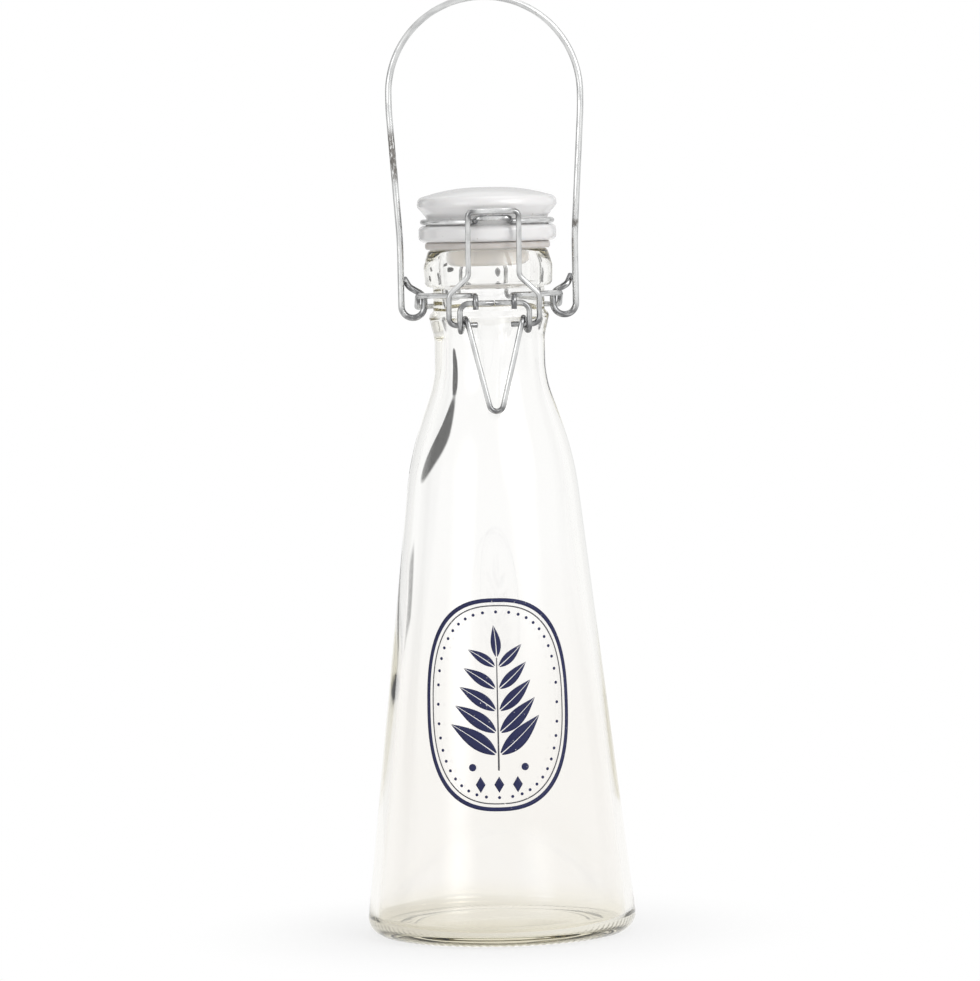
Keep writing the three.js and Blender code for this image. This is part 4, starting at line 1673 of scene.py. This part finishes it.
@dataclass(frozen=True)
class PhotoCamera:
    """Camera at the photograph's angle; pixels are those of a 980 by 981 image."""

    distance: float = 1780.0
    height: float = 248.4
    azimuth_deg: float = -4.5
    pitch_deg: float = 3.33
    roll_deg: float = 1.25
    yaw_pixels: float = -2.9
    focal_pixels: float = 5455.0
    image_width: int = 980
    sensor: float = 36.0

    def axes(self) -> Array:
        """Rows: right, up and forward of the camera."""
        azimuth, pitch, roll = np.radians([self.azimuth_deg, self.pitch_deg, self.roll_deg])
        yaw = self.yaw_pixels / self.focal_pixels
        ahead = np.array([-math.sin(azimuth), math.cos(azimuth), 0.0])
        aside = np.array([math.cos(azimuth), math.sin(azimuth), 0.0])
        level = ahead * math.cos(yaw) + aside * math.sin(yaw)
        right = aside * math.cos(yaw) - ahead * math.sin(yaw)
        forward = level * math.cos(pitch) - np.array([0.0, 0.0, math.sin(pitch)])
        up = np.cross(right, forward)
        turned_right = right * math.cos(roll) - up * math.sin(roll)
        turned_up = up * math.cos(roll) + right * math.sin(roll)
        return np.stack([turned_right, turned_up, forward])

    def build(self) -> None:
        """Makes the camera and sets it as the scene's."""
        data = bpy.data.cameras.new("photo_camera")
        data.sensor_fit = "HORIZONTAL"
        data.sensor_width = self.sensor
        data.lens = self.focal_pixels / self.image_width * self.sensor
        camera = bpy.data.objects.new("photo_camera", data)
        right, up, forward = self.axes()
        azimuth = math.radians(self.azimuth_deg)
        place = np.array([
            self.distance * math.sin(azimuth), -self.distance * math.cos(azimuth), self.height]) * MM
        matrix = np.eye(4)
        matrix[:3] = np.stack([right, up, -forward, place], axis=-1)
        camera.matrix_world = Matrix(matrix.tolist())
        bpy.context.scene.collection.objects.link(camera)
        bpy.context.scene.camera = camera


@dataclass(frozen=True)
class SoftBox:
    """Square soft light that faces the bottle and dims towards its edges, in metres and watts.

    The gain makes up for the window, whose mean is a quarter.
    """

    name: str
    place: Place
    size: float
    power: float
    gain: float = 4.0

    def build(self, aim: Vector) -> None:
        """Makes the light, whose window is a smooth step of 1 - |2u - 1| times one of 1 - |2v - 1|.

        Args:
            aim: point that the light faces.
        """
        data = bpy.data.lights.new(self.name, "AREA")
        data.size = self.size
        data.energy = self.power
        shader = Shader(data)
        sides = shader.node("ShaderNodeNewGeometry", {}, {}, "Parametric")
        window = (1.0 - (2.0 * sides.part("X") - 1.0).size()).between(0.0, 1.0)
        window = window * (1.0 - (2.0 * sides.part("Y") - 1.0).size()).between(0.0, 1.0)
        glow = shader.node("ShaderNodeEmission", {}, {"Strength": self.gain * window})
        shader.close("ShaderNodeOutputLight", {"Surface": glow})
        lamp = bpy.data.objects.new(self.name, data)
        lamp.location = self.place
        lamp.rotation_euler = (aim - Vector(self.place)).to_track_quat("-Z", "Y").to_euler()
        bpy.context.scene.collection.objects.link(lamp)


@dataclass(frozen=True)
class SideCard:
    """Grey studio card with soft edges, seen only in gloss and through glass, in metres."""

    name: str
    azimuth_deg: float
    distance: float
    width: float
    base: float
    top: float
    grey: float
    softness: float = 0.6
    through_glass: bool = True
    oval: bool = False
    steps: int = 5

    def material(self) -> bpy.types.Material:
        """Grey in the middle, white at the edges.

        The window is a smooth step of 1 - |u| times one of 1 - |v|, or of 1 less the length of (u, v) on an
        oval card.

        Returns:
            The card's finish.
        """
        material = bpy.data.materials.new(self.name)
        shader = Shader(material)
        place = shader.mark(PLACE)
        if self.oval:
            window = (1.0 - place.length()).between(0.0, self.softness)
        else:
            window = (1.0 - place.part("X").size()).between(0.0, self.softness)
            window = window * (1.0 - place.part("Y").size()).between(0.0, self.softness)
        color = shader.mix(window, (1.0, 1.0, 1.0), (self.grey, self.grey, self.grey))
        glow = shader.node("ShaderNodeEmission", {}, {"Color": color})
        shader.close("ShaderNodeOutputMaterial", {"Surface": glow})
        return material

    def build(self) -> None:
        """Makes the card as an upright grid, u and v from -1 to 1, that faces the bottle."""
        angle = math.radians(self.azimuth_deg)
        out = np.array([math.sin(angle), -math.cos(angle), 0.0])
        aside = np.array([math.cos(angle), math.sin(angle), 0.0])
        u, v = square_grid(self.steps)
        points = self.distance * out + self.width / 2 * u[..., None] * aside
        rise = (self.base + self.top) / 2 + (self.top - self.base) / 2 * v[..., None]
        points = points + rise * np.array([0.0, 0.0, 1.0])
        marks = {PLACE: np.stack([u, v, 0 * u], axis=-1).reshape(-1, 3)}
        surface = Surface(points.reshape(-1, 3) / MM, grid_quads(self.steps, self.steps), marks=marks)
        card = surface.to_object(self.name)
        card.data.materials.append(self.material())
        card.visible_camera = False
        card.visible_diffuse = False
        card.visible_shadow = False
        card.visible_transmission = self.through_glass
        card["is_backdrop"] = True


@dataclass
class Studio:
    """White studio: a pale floor that keeps a faint shadow, a white surround and soft light."""

    surround_light: float = 0.5
    light_bounces: int = 40
    floor_radius: float = 4.0
    floor_drop: float = 0.0002
    floor_steps: int = 9
    floor_white: float = 0.86
    shadow_share: float = 0.35
    shadow_reach: float = 0.11
    # Painted shade seen through the glass: a warm grey on the floor round a point left of the bottle's
    # middle.
    glass_painted_shade: Color = (0.72, 0.70, 0.65)
    glass_painted_shade_middle: Place = (-0.028, 0.0, 0.0)
    glass_painted_shade_levels: Span = (0.02, 0.09)
    boxes: tuple[SoftBox, ...] = (
        SoftBox("key_box", (1.1, -1.4, 1.0), 1.8, 16.0),
        SoftBox("fill_box", (-1.3, -1.3, 0.6), 1.4, 4.0),
        SoftBox("top_box", (0.2, 0.2, 1.4), 1.2, 2.0),
    )
    cards: tuple[SideCard, ...] = (
        SideCard("left_card", -105.0, 0.7, 0.32, -0.1, 0.8, 0.38),
        SideCard("right_card", 105.0, 0.7, 0.32, -0.1, 0.8, 0.75),
        SideCard("neck_card", -172.7, 0.9, 0.125, 0.125, 0.167, 0.0, 0.25, oval=True),
        SideCard("body_card", -164.5, 0.9, 0.17, 0.045, 0.1, 0.03, 0.4),
        SideCard("high_card", 180.0, 0.9, 0.9, 0.22, 0.75, 0.68, 0.5, through_glass=False),
        SideCard("left_edge_card", -147.0, 0.8, 0.6, -0.1, 0.8, 0.4, 0.5, through_glass=False),
        SideCard("right_edge_card", 147.0, 0.8, 0.6, -0.1, 0.8, 0.7, 0.5, through_glass=False),
    )

    def ray_is(self, shader: Shader, kind: str) -> Signal:
        """1 for rays of a kind, such as Camera or Glossy, 0 for the rest."""
        return shader.node("ShaderNodeLightPath", {}, {}, "Is %s Ray" % kind)

    def seen_directly(self, shader: Shader) -> Signal:
        """1 for rays from the camera, off gloss and through glass, 0 for the rest."""
        kinds = [self.ray_is(shader, kind) for kind in ("Camera", "Glossy", "Transmission")]
        return (kinds[0] + kinds[1] + kinds[2]).at_most(1.0)

    def make_world(self) -> None:
        """White to the eye, and a plain level of light."""
        world = bpy.data.worlds.new("white_surround")
        shader = Shader(world)
        seen = self.seen_directly(shader)
        strength = self.surround_light + (1.0 - self.surround_light) * seen
        sky = shader.node("ShaderNodeBackground", {}, {"Color": (1.0, 1.0, 1.0, 1.0), "Strength": strength})
        shader.close("ShaderNodeOutputWorld", {"Surface": sky})
        bpy.context.scene.world = world

    def floor_material(self) -> bpy.types.Material:
        """White to the eye, with painted shade under the bottle that only rays through the glass see, and
        the lights' shadow mixed in near the bottle.
        """
        material = bpy.data.materials.new("pale_floor")
        shader = Shader(material)
        pale = (self.floor_white, self.floor_white, self.floor_white, 1.0)
        lit = shader.node("ShaderNodeBsdfDiffuse", {}, {"Color": pale})
        place = shader.object_place()
        # Painted shade for rays through the glass, fading out from that point.
        painted_shade_nearness = 1.0 - place.distance(self.glass_painted_shade_middle).between(*self.glass_painted_shade_levels)
        under = self.ray_is(shader, "Transmission") * painted_shade_nearness
        tone = shader.mix(under, (1.0, 1.0, 1.0), self.glass_painted_shade)
        white = shader.node("ShaderNodeEmission", {}, {"Color": tone})
        near = 1.0 - place.length().between(0.0, self.shadow_reach)
        shaded = self.ray_is(shader, "Camera") * near * self.shadow_share
        share = self.seen_directly(shader) * (1.0 - shaded)
        mixed = shader.node("ShaderNodeMixShader", {}, {0: share, 1: lit, 2: white})
        shader.close("ShaderNodeOutputMaterial", {"Surface": mixed})
        return material

    def make_floor(self) -> None:
        """Square grid just under the bottle."""
        u, v = square_grid(self.floor_steps)
        level = np.full_like(u, -self.floor_drop)
        grid = np.stack([self.floor_radius * u, self.floor_radius * v, level], axis=-1)
        quads = grid_quads(self.floor_steps, self.floor_steps)
        floor = Surface(grid.reshape(-1, 3) / MM, quads).to_object("studio_floor")
        floor.data.materials.append(self.floor_material())
        floor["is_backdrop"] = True

    def build(self, aim: Vector) -> None:
        """Makes world, floor, lights and cards.

        Args:
            aim: point that the lights face.
        """
        self.make_world()
        self.make_floor()
        for box in self.boxes:
            box.build(aim)
        for card in self.cards:
            card.build()
        scene = bpy.context.scene
        scene.view_settings.view_transform = "Standard"
        scene.cycles.max_bounces = self.light_bounces
        scene.cycles.transmission_bounces = self.light_bounces
        scene.cycles.glossy_bounces = self.light_bounces


def main() -> None:
    """Builds the bottle's pieces in order, then the studio."""
    logging.basicConfig(level=logging.INFO, format="%(name)s: %(message)s")
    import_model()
    cad_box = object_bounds()
    PhotoCamera().build()
    glass = GlassBottle()
    lid = LidWithGasket(glass)
    closure = Closure(glass, lid)
    pieces = [glass.build(), *FrontPrint(glass).build(), *lid.build()]
    pieces += closure.build(WireFinish().material())
    pieces.append(Handle(glass, lid, closure).build())
    LOG.info("%d pieces", len(pieces))
    Studio().build((cad_box[0] + cad_box[1]) / 2)


if __name__ == "__main__":
    main()
